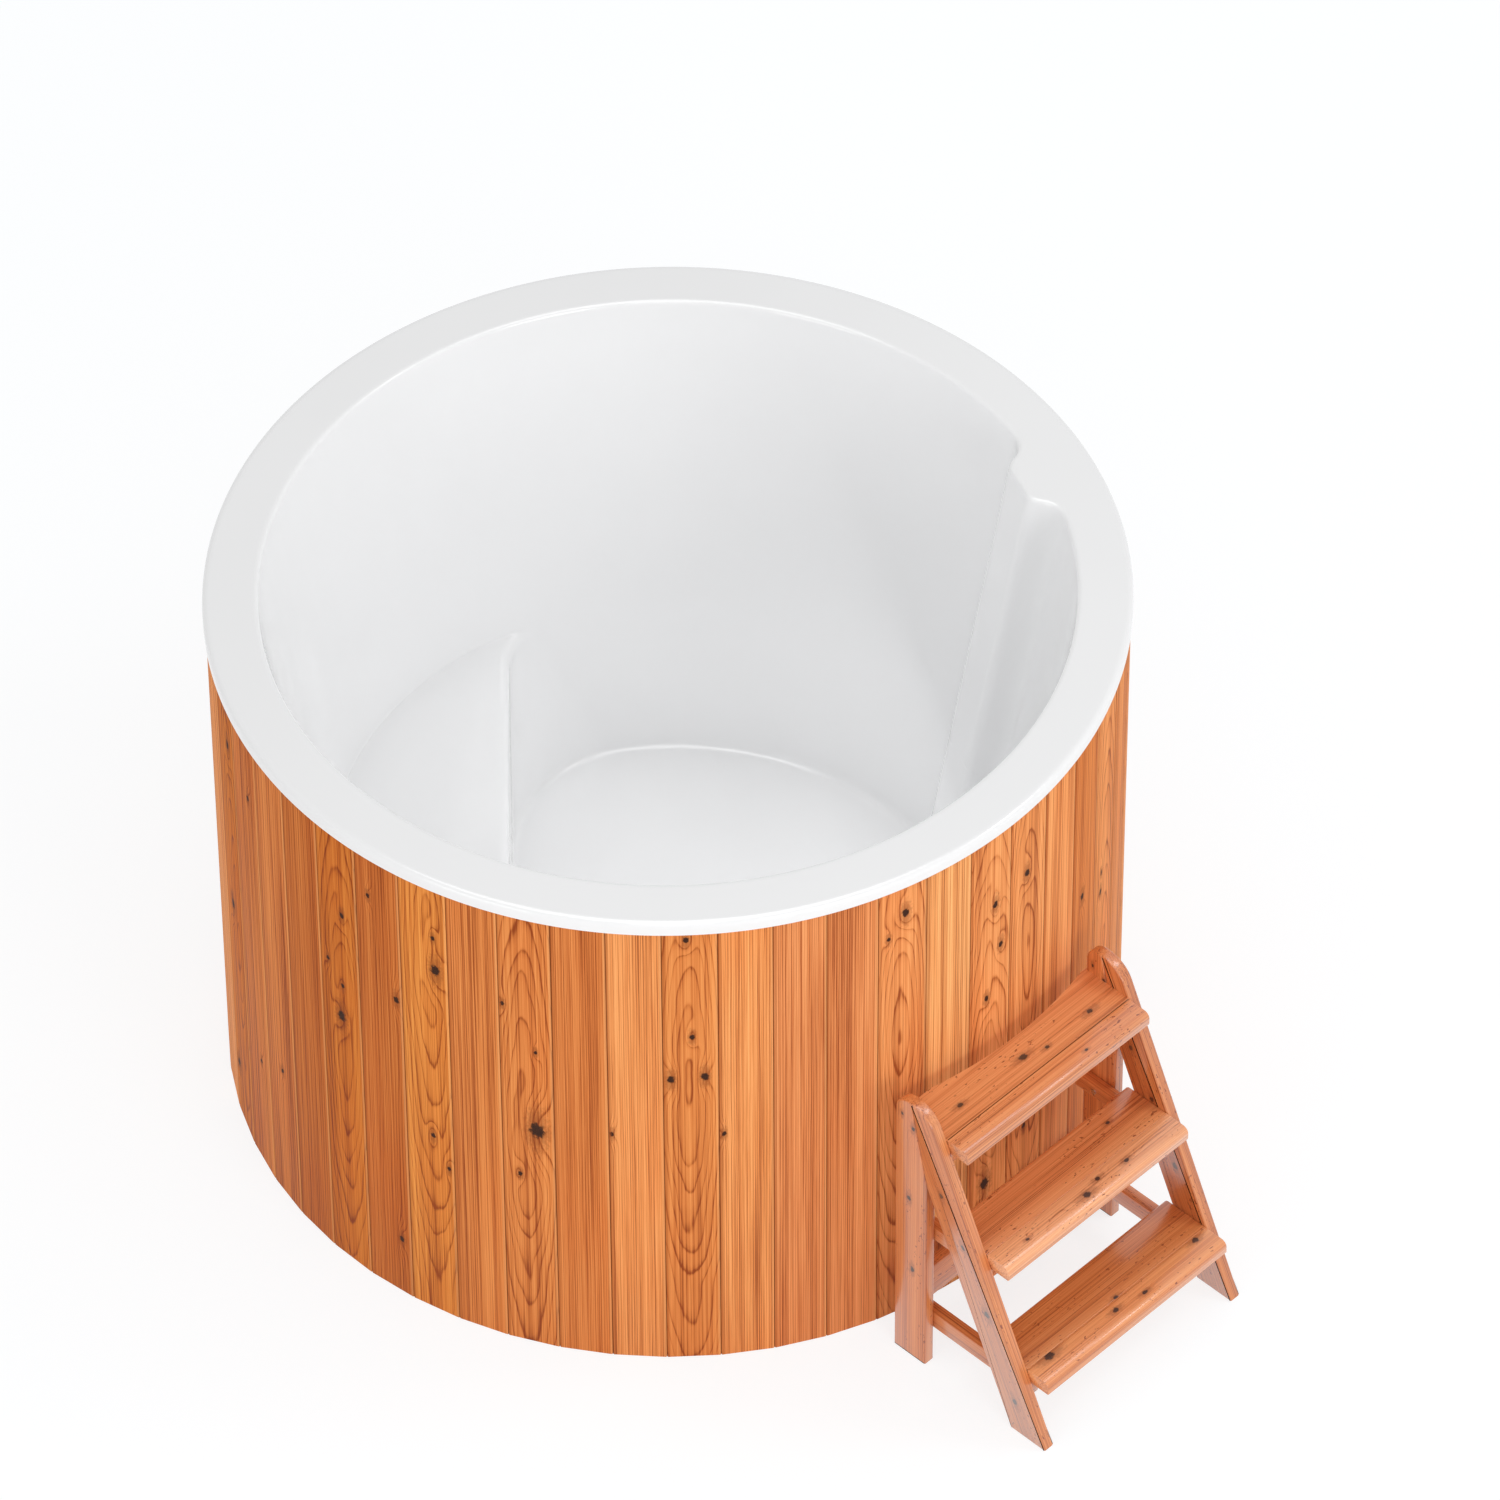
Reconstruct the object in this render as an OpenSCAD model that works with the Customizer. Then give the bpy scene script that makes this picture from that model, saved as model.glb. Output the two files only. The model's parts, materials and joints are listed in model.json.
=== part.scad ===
// Cold plunge tub: a round moulded liner with a seat, clad in upright wooden boards,
// with a drain at the back and a separate flight of three wooden steps.
// Millimetres. The tub's axis is the Z axis, and it stands on z = 0.
// The steps stand on the -Y side, and the drain leaves on the +Y side.

/* [Tub] */
// Diameter over the corners of the wooden boards
tub_d = 1600; // [1300:10:2200]
// Height of the rim's top above the ground
rim_z = 1107; // [950:1:1300]
// Number of upright boards around the tub
board_count = 53; // [41:1:75]
// Thickness of an upright board
board_t = 27; // [21:1:34]
// Width of the small bevel along each board's outer edges
board_bevel = 2.4; // [0.4:0.1:4]
// Thickness of the tongue on a board's edge
tongue_t = 7; // [5:0.5:9]
// Length of the tongue on a board's edge
tongue_l = 8; // [5:0.5:11]

/* [Liner] */
// Wall thickness of the moulded liner
liner_t = 8; // [5:0.5:11]
// Angle between the inner wall and the vertical
wall_angle = 9.66; // [4:0.01:12]
// Thickness of the lip that hangs outside the boards
lip_t = 3; // [2:0.25:6]
// Height of the lip, from its lower edge to the rim's top
lip_h = 25; // [15:1:45]
// Radius of the rim's outer top edge
rim_round = 10; // [5:0.5:12]

/* [Seat and rib] */
// Height of the seat above the inner floor
seat_rise = 313; // [200:1:420]
// Distance of the seat's front from the tub's axis
seat_edge = 287; // [200:1:380]
// Direction of the seat's middle, seen from the axis
seat_az = 135; // [120:1:150]
// Radius at the floor by which the seat's front curves into the wall
seat_flare = 270; // [150:5:600]
// Angle between the vertical and the seat's curved ends
seat_lean = 14.5; // [0:0.5:20]
// Half length of the straight part of the seat's front
seat_straight = 280; // [200:5:380]
// Direction of the moulded rib, seen from the axis
rib_az = -23.4; // [-40:0.1:-10]
// Width of the rib's flat face
rib_face_w = 98; // [60:1:140]
// Width of the rib where it meets the wall
rib_root_w = 160; // [150:1:220]
// Distance that the rib stands out of the wall
rib_depth = 48; // [25:1:70]

/* [Hidden frame] */
// Height of the floor joists
joist_h = 115; // [95:1:160]
// Width of the floor joists
joist_w = 45; // [30:1:60]
// Spacing of the floor joists
joist_gap = 280; // [220:5:300]
// Thickness of the round base board under the liner
base_t = 24; // [12:1:36]
// Thickness of the rings behind the boards
ring_t = 24; // [15:1:32]
// Height of the rings behind the boards
ring_h = 50; // [35:1:56]
// Thickness of the ring under the rim
rim_ring_t = 27; // [15:1:40]
// Number of upright studs inside the rings
stud_count = 8; // [6:1:12]
// Depth of a stud
stud_t = 28; // [20:1:38]
// Width of a stud
stud_w = 45; // [30:1:70]
// Least gap between the studs and the liner
stud_gap = 2.5; // [1:0.1:15]
// Thickness of the boards that carry the seat
gable_t = 18; // [12:1:30]
// Distance of the outer seat gables from the middle one
gable_gap = 250; // [150:5:300]
// Depth of a seat gable, away from the tub's axis
gable_l = 190; // [120:1:200]
// Thickness of the rail behind the seat's front
seat_rail_t = 34; // [20:1:45]
// Height of the rail behind the seat's front
seat_rail_h = 60; // [40:1:90]
// Height of the tie between the two middle joists
tie_h = 30; // [20:1:34]
// Width of the tie between the two middle joists
tie_w = 90; // [60:1:120]
// Radius of the frame screws
frame_screw_r = 3; // [2:0.25:4]

/* [Drain] */
// Distance of the drain in front of the tub's axis
drain_back = 250; // [150:5:350]
// Outer radius of the drain pipe
pipe_r = 20; // [15:0.5:23]
// Wall thickness of the drain pipe
pipe_t = 3; // [2:0.25:4]
// Height of the drain pipe's axis above the ground
pipe_z = 58; // [56:1:60]
// Radius of the drain's threaded tail
tail_r = 29; // [27:0.5:32]
// Radius of the drain's flange
flange_r = 45; // [40:1:60]
// Thickness of the drain's flange
flange_t = 3; // [2:0.25:5]
// Thickness of the drain's gasket
gasket_t = 2; // [1:0.25:3]
// Number of holes in the strainer
strainer_holes = 12; // [6:1:16]
// Distance of the valve's middle from the boards
valve_out = 95; // [85:1:160]
// Radius of the valve's ball
ball_r = 22; // [20:0.5:23]
// Outer radius of the valve's body
valve_r = 32; // [31:0.5:36]
// Length of the valve lever, from its axis
lever_l = 92; // [60:1:120]
// Radius of the valve's stem
stem_r = 6; // [4:0.5:7]
// Free length of the outlet spigot
spigot_l = 48; // [30:1:80]

/* [Steps] */
// Width over the outer faces of the steps
steps_w = 500; // [400:5:700]
// Sideways place of the middle of the steps
steps_x = -30; // [-80:1:80]
// Distance between the boards of the tub and the steps
steps_gap = 13.5; // [5:0.5:60]
// Depth of the steps at the ground
steps_depth = 361; // [320:1:480]
// Angle between the front legs and the vertical
leg_lean = 24; // [18:0.1:27]
// Thickness of the legs and rails
leg_t = 22; // [16:1:35]
// Width of the legs
leg_w = 74; // [50:1:86]
// Height of the lowest tread's top
first_rise = 147; // [130:1:180]
// Height from one tread to the next
tread_rise = 220.5; // [190:0.5:235]
// Height of the side frames above the top tread
side_rise = 59; // [30:1:90]
// Radius of the side frames' front top corner
front_round = 58; // [25:1:62]
// Radius of the side frames' rear top corner
rear_round = 28; // [10:1:32]
// Thickness of the treads
tread_t = 28; // [20:1:36]
// Distance that a tread's nosing stands out from the front legs
nose_out = 51; // [30:1:70]
// Depth of a tread from its back to its nosing's front
tread_depth = 147; // [120:1:160]
// Radius of the nosing's top edge
nose_round = 13; // [5:0.5:16]
// Radius of a tread's back edge
tread_back_round = 9; // [3:0.5:12]
// Distance between the tub's boards and the top tread's curved edge
tread_clear = 35; // [20:1:60]
// Height of the rails under the lowest tread
low_rail_h = 38; // [25:1:60]
// Height of the bearers under the other treads
bearer_h = 30; // [20:1:50]
// Height of the cross rail between the rear legs
cross_h = 75; // [50:1:110]
// Radius of the steps' screws
step_screw_r = 2.5; // [1.5:0.25:3.5]

/* [Hidden] */
$fn = 96;

// Clearances
fit = 0.3;       // between a curved face and what lies against it
slip = 0.25;     // around a screw, stem or ball
seam = 0.02;     // between a tread's board and its nosing
cut = 1;         // by which a cutting solid passes through a face

// Tub, from the boards inwards
tub_r = tub_d / 2;
board_a = 360 / board_count;
board_face = tub_r * cos(board_a / 2);
board_back = board_face - board_t;
ring_ro = board_back - fit;
ring_ri = ring_ro - ring_t;
stud_face = sqrt(pow(ring_ri - fit, 2) - pow(stud_w / 2, 2));
stud_back = stud_face - stud_t;
wall_run = liner_t / cos(wall_angle);
mouth_r = stud_back - stud_gap - wall_run;

// Heights
base_z = joist_h + base_t;
floor_z = base_z + liner_t;
flange_z = rim_z - liner_t;
rim_ring_z = flange_z - rim_ring_t;
ring_top_z = rim_ring_z - ring_h;
ring_mid_z = (base_z + rim_ring_z - ring_h) / 2;
ring_low_z = base_z;
seat_z = floor_z + seat_rise;
seat_under = seat_z - liner_t;
function wall_r(z) = mouth_r - (rim_z - z) * tan(wall_angle);

// Drain
drain_y = -drain_back;
valve_y = tub_r + valve_out;
valve_half = ball_r + 8;
port_r = pipe_r - pipe_t - 2;
socket_r = pipe_r + 7;
socket_l = 26;
spigot_end_r = pipe_r - 0.5;
boss_z = pipe_z + valve_r + 6;
gland_h = 6;
lever_z = boss_z + gland_h + 1;
lever_t = 12;
strainer_t = 3;
sump_r = tail_r + 5;
sump_floor = pipe_z - pipe_r - 4;
tail_end = joist_h - 12;
nut_h = min(12, base_t - 2);

// Steps, with u as the distance from the tub's axis towards the steps
leg_u = tub_r + steps_gap;
foot_u = leg_u + steps_depth;
leg_run = leg_w / cos(leg_lean);
step_z = [first_rise, first_rise + tread_rise, first_rise + 2 * tread_rise];
side_top = step_z[2] + side_rise;
x_left = steps_x - steps_w / 2;
x_right = steps_x + steps_w / 2;
in_left = x_left + leg_t;
in_right = x_right - leg_t;
function front_u(z) = foot_u - z * tan(leg_lean);
function nose_u(z) = front_u(z) + nose_out;
mitre_z = (foot_u - leg_run - leg_u - leg_w) / tan(leg_lean);
mitre_u = leg_u + leg_w - (side_top - mitre_z) * tan(leg_lean / 2);
top_board_z = [for (z = step_z) z - tread_t];

// Places children around the tub's axis, at the direction a
module around(a) {
    rotate([0, 0, a])
        children();
}

// A ring or a tube about the Z axis
module tube(ro, ri, z0, h) {
    translate([0, 0, z0])
        difference() {
            cylinder(r = ro, h = h);
            translate([0, 0, -cut])
                cylinder(r = ri, h = h + 2 * cut);
        }
}

// A rod along +Y from y0, at the pipe's height
module rod_y(r, y0, l) {
    translate([0, y0, pipe_z])
        rotate([-90, 0, 0])
            cylinder(r = r, h = l);
}

// A box between two corners
module block(lo, hi) {
    translate(lo)
        cube(hi - lo);
}

// Liner

// The seat's outline in plan, g outside the moulded face
// The room in front of the seat, g wider: straight in the middle, leaning cones at the ends
module seat_front(g, top) {
    x0 = seat_edge - seat_flare;
    z0 = -2 * cut;
    h = top + 4 * cut;
    r = function (z) seat_flare + (z - floor_z) * tan(seat_lean) + g / cos(seat_lean);
    intersection() {
        translate([x0 - tub_r, -tub_r, z0])
            cube([tub_r + seat_flare + g, 2 * tub_r, h]);
        union() {
            translate([x0 - tub_r, -seat_straight, z0])
                cube([2 * tub_r, 2 * seat_straight, h]);
            for (s = [-1, 1])
                translate([x0, s * seat_straight, z0])
                    cylinder(r1 = r(z0), r2 = r(z0 + h), h = h);
        }
    }
}

// The space of the seat, up to the height top, with its front moved back by g
module seat_space(g, top) {
    around(seat_az)
        difference() {
            translate([seat_edge - seat_flare, -tub_r, -cut])
                cube([tub_r, 2 * tub_r, top + cut]);
            seat_front(g, top);
        }
}

// The rib along the leaning wall, g outside the moulded face, up to the height top
module rib_space(g, top) {
    half = rib_face_w / 2 - g;
    root = rib_root_w / 2 - g;
    face = rib_depth - g;
    spread = (root - half) / rib_depth;
    back = 2 * liner_t;
    intersection() {
        around(rib_az)
            translate([mouth_r, 0, rim_z])
                rotate([0, wall_angle, 0])
                    translate([0, 0, -2 * rim_z])
                        linear_extrude(3 * rim_z)
                            polygon([[-face, -half], [-face, half],
                                [back, half + spread * (face + back)],
                                [back, -half - spread * (face + back)]]);
        cylinder(r = tub_r, h = top);
    }
}

// The water's space: the cone without the seat and the rib
module inner_space() {
    top = rim_z + cut;
    difference() {
        translate([0, 0, floor_z])
            cylinder(r1 = wall_r(floor_z), r2 = wall_r(top), h = top - floor_z);
        seat_space(0, seat_z);
        rib_space(0, top);
    }
}

// The cone outside the wall, open under the seat and behind the rib
module outer_cone() {
    z0 = base_z;
    difference() {
        translate([0, 0, z0])
            cylinder(r1 = wall_r(z0) + wall_run, r2 = wall_r(rim_z) + wall_run,
                h = rim_z - z0);
        seat_space(liner_t, seat_under);
        rib_space(liner_t, flange_z);
    }
}

// The flat rim with its rounded edge and its hanging lip
module rim() {
    lip_ri = tub_r + fit;
    lip_ro = lip_ri + lip_t;
    rotate_extrude()
        difference() {
            translate([mouth_r - liner_t, rim_z - lip_h])
                square([lip_ro - mouth_r + liner_t, lip_h]);
            translate([mouth_r - 2 * liner_t, rim_z - 2 * lip_h])
                square([lip_ri - mouth_r + 2 * liner_t, 2 * lip_h - liner_t]);
            difference() {
                translate([lip_ro - rim_round, rim_z - rim_round])
                    square(rim_round + cut);
                translate([lip_ro - rim_round, rim_z - rim_round])
                    circle(r = rim_round);
            }
        }
}

module liner() {
    color("white")
        difference() {
            union() {
                outer_cone();
                rim();
            }
            inner_space();
            translate([0, drain_y, 0])
                cylinder(r = tail_r + slip, h = floor_z + cut);
        }
}

// Boards

// One board in plan, with its tongue on one edge and its groove on the other
module board_outline() {
    half = board_a / 2;
    gap = 0.1;
    out = board_face / cos(half);
    in = board_back / cos(half);
    mid = (out + in) / 2;
    difference() {
        union() {
            difference() {
                polygon([[board_back, -board_back * tan(half)],
                    [board_face, -board_face * tan(half)],
                    [board_face, board_face * tan(half)],
                    [board_back, board_back * tan(half)]]);
                for (s = [-1, 1])
                    rotate(s * half)
                        translate([in - board_t, s > 0 ? -gap : -board_t])
                            square([3 * board_t, board_t + gap]);
                for (s = [-1, 1])
                    rotate(s * half)
                        translate([out, 0])
                            rotate(45)
                                square(board_bevel * sqrt(2), center = true);
            }
            rotate(half)
                translate([mid - tongue_t / 2, -tongue_l])
                    square([tongue_t, 2 * tongue_l]);
        }
        rotate(-half)
            translate([mid - tongue_t / 2 - slip, -tongue_l])
                square([tongue_t + 2 * slip, 2 * tongue_l + fit]);
    }
}

module cladding_boards() {
    color("peru")
        difference() {
            for (i = [0 : board_count - 1])
                around((i + 0.42) * board_a)
                    linear_extrude(flange_z - fit)
                        board_outline();
            rod_y(pipe_r + 2, board_back - board_t, 3 * board_t);
        }
}

// Hidden frame

module joists() {
    color("burlywood")
        for (k = [-1.5, -0.5, 0.5, 1.5]) {
            x = k * joist_gap;
            l = sqrt(pow(ring_ri - fit, 2) - pow(abs(x) + joist_w / 2, 2));
            block([x - joist_w / 2, -l, 0], [x + joist_w / 2, l, joist_h]);
        }
}

// The tie lies on the ground between the two middle joists, under the pipe
module joist_tie() {
    half = (joist_gap - joist_w) / 2;
    color("tan")
        block([-half, -tie_w / 2, 0], [half, tie_w / 2, tie_h]);
}

module base_board() {
    color("wheat")
        difference() {
            translate([0, 0, joist_h])
                cylinder(r = ring_ri - fit, h = base_t);
            translate([0, drain_y, joist_h - cut])
                cylinder(r = flange_r + 6, h = base_t + 2 * cut);
        }
}

// The directions of the studs, clear of the pipe
function stud_az(i) = (i + 0.5) * 360 / stud_count + (stud_count % 4 == 2 ? 90 / stud_count : 0);

// The screws' holes through the studs and rings, or the screws' shanks
module frame_shanks(r, l, z) {
    for (i = [0 : stud_count - 1])
        around(stud_az(i))
            translate([stud_back, 0, z])
                rotate([0, 90, 0])
                    cylinder(r = r, h = l);
}

screw_levels = [ring_low_z + ring_h / 2, ring_mid_z + ring_h / 2, ring_top_z + ring_h / 2];

module ring_at(z, screw_z) {
    difference() {
        tube(ring_ro, ring_ri, z, ring_h);
        frame_shanks(frame_screw_r + slip, stud_t + ring_t - 4, screw_z);
    }
}

module ring_bottom() {
    color("sandybrown")
        ring_at(ring_low_z, screw_levels[0]);
}

module ring_middle() {
    color("sandybrown")
        ring_at(ring_mid_z, screw_levels[1]);
}

module ring_top() {
    color("sandybrown")
        ring_at(ring_top_z, screw_levels[2]);
}

module rim_ring() {
    color("darksalmon")
        tube(ring_ro, mouth_r + wall_run + 1, rim_ring_z, rim_ring_t);
}

// The studs as plain boxes, g wider than the real ones
module stud_boxes(g) {
    for (i = [0 : stud_count - 1])
        around(stud_az(i))
            block([stud_back - g, -stud_w / 2 - g, base_z],
                [stud_face + g, stud_w / 2 + g, rim_ring_z]);
}

module studs() {
    color("burlywood")
        difference() {
            stud_boxes(0);
            for (z = screw_levels)
                frame_shanks(frame_screw_r + slip, stud_t + cut, z);
        }
}

// One curved panel between each pair of studs
module insulation_panels() {
    ri = stud_back + 2;
    side = asin((stud_w / 2 + 1) / ri);
    color("lightyellow")
        for (i = [0 : stud_count - 1])
            around(stud_az(i) + side)
                rotate_extrude(angle = 360 / stud_count - 2 * side)
                    translate([ri, base_z])
                        square([ring_ri - fit - ri, rim_ring_z - base_z]);
}

module seat_rail() {
    x0 = seat_edge + liner_t;
    color("tan")
        around(seat_az)
            block([x0, -seat_straight, seat_under - seat_rail_h],
                [x0 + seat_rail_t, seat_straight, seat_under]);
}

module seat_gables() {
    x0 = seat_edge + liner_t + seat_rail_t;
    color("wheat")
        around(seat_az)
            for (k = [-1, 0, 1])
                block([x0, k * gable_gap - gable_t / 2, base_z],
                    [x0 + gable_l, k * gable_gap + gable_t / 2, seat_under]);
}

module frame_screws() {
    head_h = 2;
    color("silver")
        for (z = screw_levels) {
            frame_shanks(frame_screw_r, stud_t + ring_t - 6, z);
            for (i = [0 : stud_count - 1])
                around(stud_az(i))
                    translate([stud_back - head_h, 0, z])
                        rotate([0, 90, 0])
                            cylinder(r = 2 * frame_screw_r, h = head_h);
        }
}

// Drain

module drain_flange() {
    top = floor_z + gasket_t + flange_t;
    bore = tail_r - 5;
    color("silver")
        translate([0, drain_y, 0])
            difference() {
                union() {
                    translate([0, 0, top - flange_t])
                        cylinder(r = flange_r, h = flange_t);
                    translate([0, 0, tail_end])
                        cylinder(r = tail_r, h = top - tail_end);
                }
                translate([0, 0, tail_end - cut])
                    cylinder(r = bore - 3, h = top);
                translate([0, 0, top - strainer_t - 1])
                    cylinder(r = bore, h = top);
            }
}

module drain_gasket() {
    color("dimgray")
        translate([0, drain_y, 0])
            tube(flange_r - 1, tail_r + slip, floor_z, gasket_t);
}

module drain_strainer() {
    r = tail_r - 5 - slip;
    z = floor_z + gasket_t + flange_t - strainer_t - 1;
    color("gainsboro")
        translate([0, drain_y, z])
            difference() {
                cylinder(r = r, h = strainer_t);
                for (i = [0 : strainer_holes - 1])
                    rotate([0, 0, i * 360 / strainer_holes])
                        translate([r * 0.66, 0, -cut])
                            cylinder(r = 2.2, h = strainer_t + 2 * cut);
                for (i = [0 : 4])
                    rotate([0, 0, i * 72])
                        translate([r * 0.3, 0, -cut])
                            cylinder(r = 2.2, h = strainer_t + 2 * cut);
            }
}

module drain_nut() {
    color("gray")
        translate([0, drain_y, base_z - nut_h])
            difference() {
                cylinder(r = tail_r + 11, h = nut_h, $fn = 6);
                translate([0, 0, -cut])
                    cylinder(r = tail_r + slip, h = nut_h + 2 * cut);
            }
}

// The cup under the drain, with a socket for the pipe on its back
module drain_sump() {
    lap = 10;
    color("lightgray")
        difference() {
            union() {
                translate([0, drain_y, sump_floor])
                    cylinder(r = sump_r, h = tail_end + lap - sump_floor);
                rod_y(socket_r, drain_y, sump_r + socket_l);
            }
            translate([0, drain_y, sump_floor + 4])
                cylinder(r = tail_r - 5, h = tail_end);
            translate([0, drain_y, tail_end])
                cylinder(r = tail_r + slip, h = lap + cut);
            rod_y(port_r, drain_y, 2 * sump_r);
            rod_y(pipe_r + slip, drain_y + sump_r, socket_l + cut);
        }
}

pipe_y0 = drain_y + sump_r;
pipe_y1 = valve_y - valve_half;

module drain_pipe() {
    color("lightgray")
        difference() {
            rod_y(pipe_r, pipe_y0, pipe_y1 - pipe_y0);
            rod_y(pipe_r - pipe_t, pipe_y0 - cut, pipe_y1 - pipe_y0 + 2 * cut);
        }
}

module pipe_clips() {
    clip_w = 20;
    color("gray")
        for (y = [board_back / 4, board_back * 3 / 4])
            difference() {
                union() {
                    rod_y(pipe_r + 5, y, clip_w);
                    block([-8, y, pipe_z], [8, y + clip_w, joist_h]);
                }
                rod_y(pipe_r + slip, y - cut, clip_w + 2 * cut);
            }
}

module outlet_plate() {
    color("silver")
        difference() {
            rod_y(pipe_r * 2, tub_r + fit, 3);
            rod_y(pipe_r + slip, tub_r - cut, 3 + 2 * cut);
        }
}

module valve_body() {
    color("gray")
        difference() {
            union() {
                rod_y(valve_r, valve_y - valve_half, 2 * valve_half);
                rod_y(socket_r, valve_y - valve_half - socket_l, 2 * (valve_half + socket_l));
                translate([0, valve_y, pipe_z])
                    cylinder(r = stem_r + 7, h = boss_z - pipe_z);
            }
            rod_y(port_r, valve_y - 3 * valve_half, 6 * valve_half);
            rod_y(ball_r + 2, valve_y - valve_half + 5, 2 * valve_half - 10);
            for (s = [-1, 1])
                rod_y((s < 0 ? pipe_r : spigot_end_r) + slip,
                    valve_y - (s < 0 ? 2 * valve_half + socket_l : -valve_half),
                    valve_half + socket_l);
            translate([0, valve_y, pipe_z])
                cylinder(r = stem_r + slip, h = boss_z - pipe_z + cut);
        }
}

module union_nuts() {
    color("dimgray")
        for (y = [valve_y - valve_half - 18, valve_y + valve_half])
            difference() {
                rod_y(socket_r + 5, y, 18, $fn = 12);
                rod_y(socket_r + slip, y - cut, 18 + 2 * cut);
            }
}

module valve_seats() {
    color("white")
        for (s = [-1, 1])
            difference() {
                rod_y(ball_r + 2 - slip, valve_y + s * (valve_half - 5) - (s > 0 ? 11 : 0), 11);
                rod_y(port_r, valve_y - 2 * valve_half, 4 * valve_half);
                translate([0, valve_y, pipe_z])
                    sphere(r = ball_r + fit);
            }
}

module gland_nut() {
    color("gold")
        translate([0, valve_y, boss_z])
            difference() {
                cylinder(r = stem_r + 8, h = gland_h, $fn = 6);
                translate([0, 0, -cut])
                    cylinder(r = stem_r + slip, h = gland_h + 2 * cut);
            }
}

// The spigot's inner end is a little thinner, so it has a shoulder against the valve
module outlet_spigot() {
    y = valve_y + valve_half;
    color("lightgray")
        difference() {
            union() {
                rod_y(spigot_end_r, y, socket_l + spigot_l);
                rod_y(pipe_r, y + socket_l, spigot_l);
            }
            rod_y(pipe_r - pipe_t, y - cut, socket_l + spigot_l + 2 * cut);
        }
}

// The ball is shut at rest: its port runs across the pipe
module valve_ball() {
    color("silver")
        translate([0, valve_y, pipe_z])
            difference() {
                sphere(r = ball_r);
                rotate([0, 90, 0])
                    cylinder(r = port_r, h = 3 * ball_r, center = true);
                translate([0, 0, ball_r - 4])
                    cylinder(r = stem_r + 0.1, h = ball_r);
            }
}

module valve_stem() {
    color("silver")
        translate([0, valve_y, pipe_z + ball_r - 4])
            difference() {
                cylinder(r = stem_r, h = lever_z + lever_t - pipe_z - ball_r + 4);
                translate([0, 0, lever_z + lever_t - pipe_z - ball_r + 4 - 10])
                    cylinder(r = stem_r / 2 + 0.1, h = 10 + cut);
            }
}

module valve_lever() {
    arm_w = 2 * stem_r + 6;
    color("firebrick")
        translate([0, valve_y, lever_z])
            difference() {
                union() {
                    cylinder(r = stem_r + 6, h = lever_t);
                    translate([0, -arm_w / 2, lever_t / 2])
                        cube([lever_l - arm_w / 2, arm_w, lever_t / 2]);
                    translate([lever_l - arm_w / 2, 0, lever_t / 2])
                        cylinder(r = arm_w / 2, h = lever_t / 2);
                }
                translate([0, 0, -cut])
                    cylinder(r = stem_r + 0.1, h = lever_t + 2 * cut);
            }
}

module lever_screw() {
    color("silver")
        translate([0, valve_y, lever_z + lever_t]) {
            translate([0, 0, -9])
                cylinder(r = stem_r / 2, h = 9);
            cylinder(r = stem_r + 2, h = 3);
        }
}

// Steps

// Stands a side view drawn in u and z up, from x back to x - t
module side_view(x, t) {
    translate([x, 0, 0])
        rotate([0, 0, -90])
            rotate([90, 0, 0])
                linear_extrude(t)
                    children();
}

// A box in the steps' own terms: x, then u outwards, then z
module step_box(x, u, z) {
    block([x[0], -u[1], z[0]], [x[1], -u[0], z[1]]);
}

// The corner outside a round of radius r, centred at c, towards the quadrant q
module corner_waste(c, r, q) {
    difference() {
        translate([c[0] + (q[0] < 0 ? -2 * r : 0), c[1]])
            square(2 * r);
        translate(c)
            circle(r = r);
    }
}

// The whole side frame's outline: both legs and the space between them
front_cx = front_u(side_top) - front_round * tan((90 - leg_lean) / 2);
front_cz = side_top - front_round;

module frame_outline() {
    difference() {
        polygon([[leg_u, 0], [foot_u, 0], [front_u(side_top), side_top], [leg_u, side_top]]);
        corner_waste([leg_u + rear_round, side_top - rear_round], rear_round, [-1, 1]);
        difference() {
            polygon([[front_cx, side_top + cut], [front_cx, front_cz],
                [front_cx + front_round * cos(leg_lean), front_cz + front_round * sin(leg_lean)],
                [front_u(side_top) + 2 * front_round, side_top + cut]]);
            translate([front_cx, front_cz])
                circle(r = front_round);
        }
    }
}

// What lies on the rear leg's side of the mitre
module rear_part() {
    polygon([[leg_u - cut, -cut], [leg_u + leg_w, -cut], [leg_u + leg_w, mitre_z],
        [mitre_u, side_top], [mitre_u, side_top + cut], [leg_u - cut, side_top + cut]]);
}

// What lies on the front leg's side of the mitre
module front_part() {
    polygon([[foot_u - leg_run, 0], [foot_u + leg_run, 0], [foot_u, side_top + cut],
        [mitre_u, side_top + cut], [mitre_u, side_top], [leg_u + leg_w, mitre_z]]);
}

module rear_leg(x) {
    side_view(x, leg_t)
        intersection() {
            frame_outline();
            rear_part();
        }
}

module front_leg(x) {
    side_view(x, leg_t)
        intersection() {
            frame_outline();
            front_part();
        }
}

module rear_leg_left() {
    color("chocolate")
        difference() {
            rear_leg(in_left);
            step_shanks(step_screw_r + slip, 0);
        }
}

module rear_leg_right() {
    color("chocolate")
        difference() {
            rear_leg(x_right);
            step_shanks(step_screw_r + slip, 0);
        }
}

module front_leg_left() {
    color("coral")
        difference() {
            front_leg(in_left);
            step_shanks(step_screw_r + slip, 0);
        }
}

module front_leg_right() {
    color("coral")
        difference() {
            front_leg(x_right);
            step_shanks(step_screw_r + slip, 0);
        }
}

// Two bars inside the side frames, from u0 to the front leg's front less 5
module side_bars(u0, z0, z1) {
    u1 = front_u(z1) - 5;
    difference() {
        for (x = [[in_left, in_left + leg_t], [in_right - leg_t, in_right]])
            step_box(x, [u0, u1], [z0, z1]);
        step_shanks(step_screw_r + slip, 0);
    }
}

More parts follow.
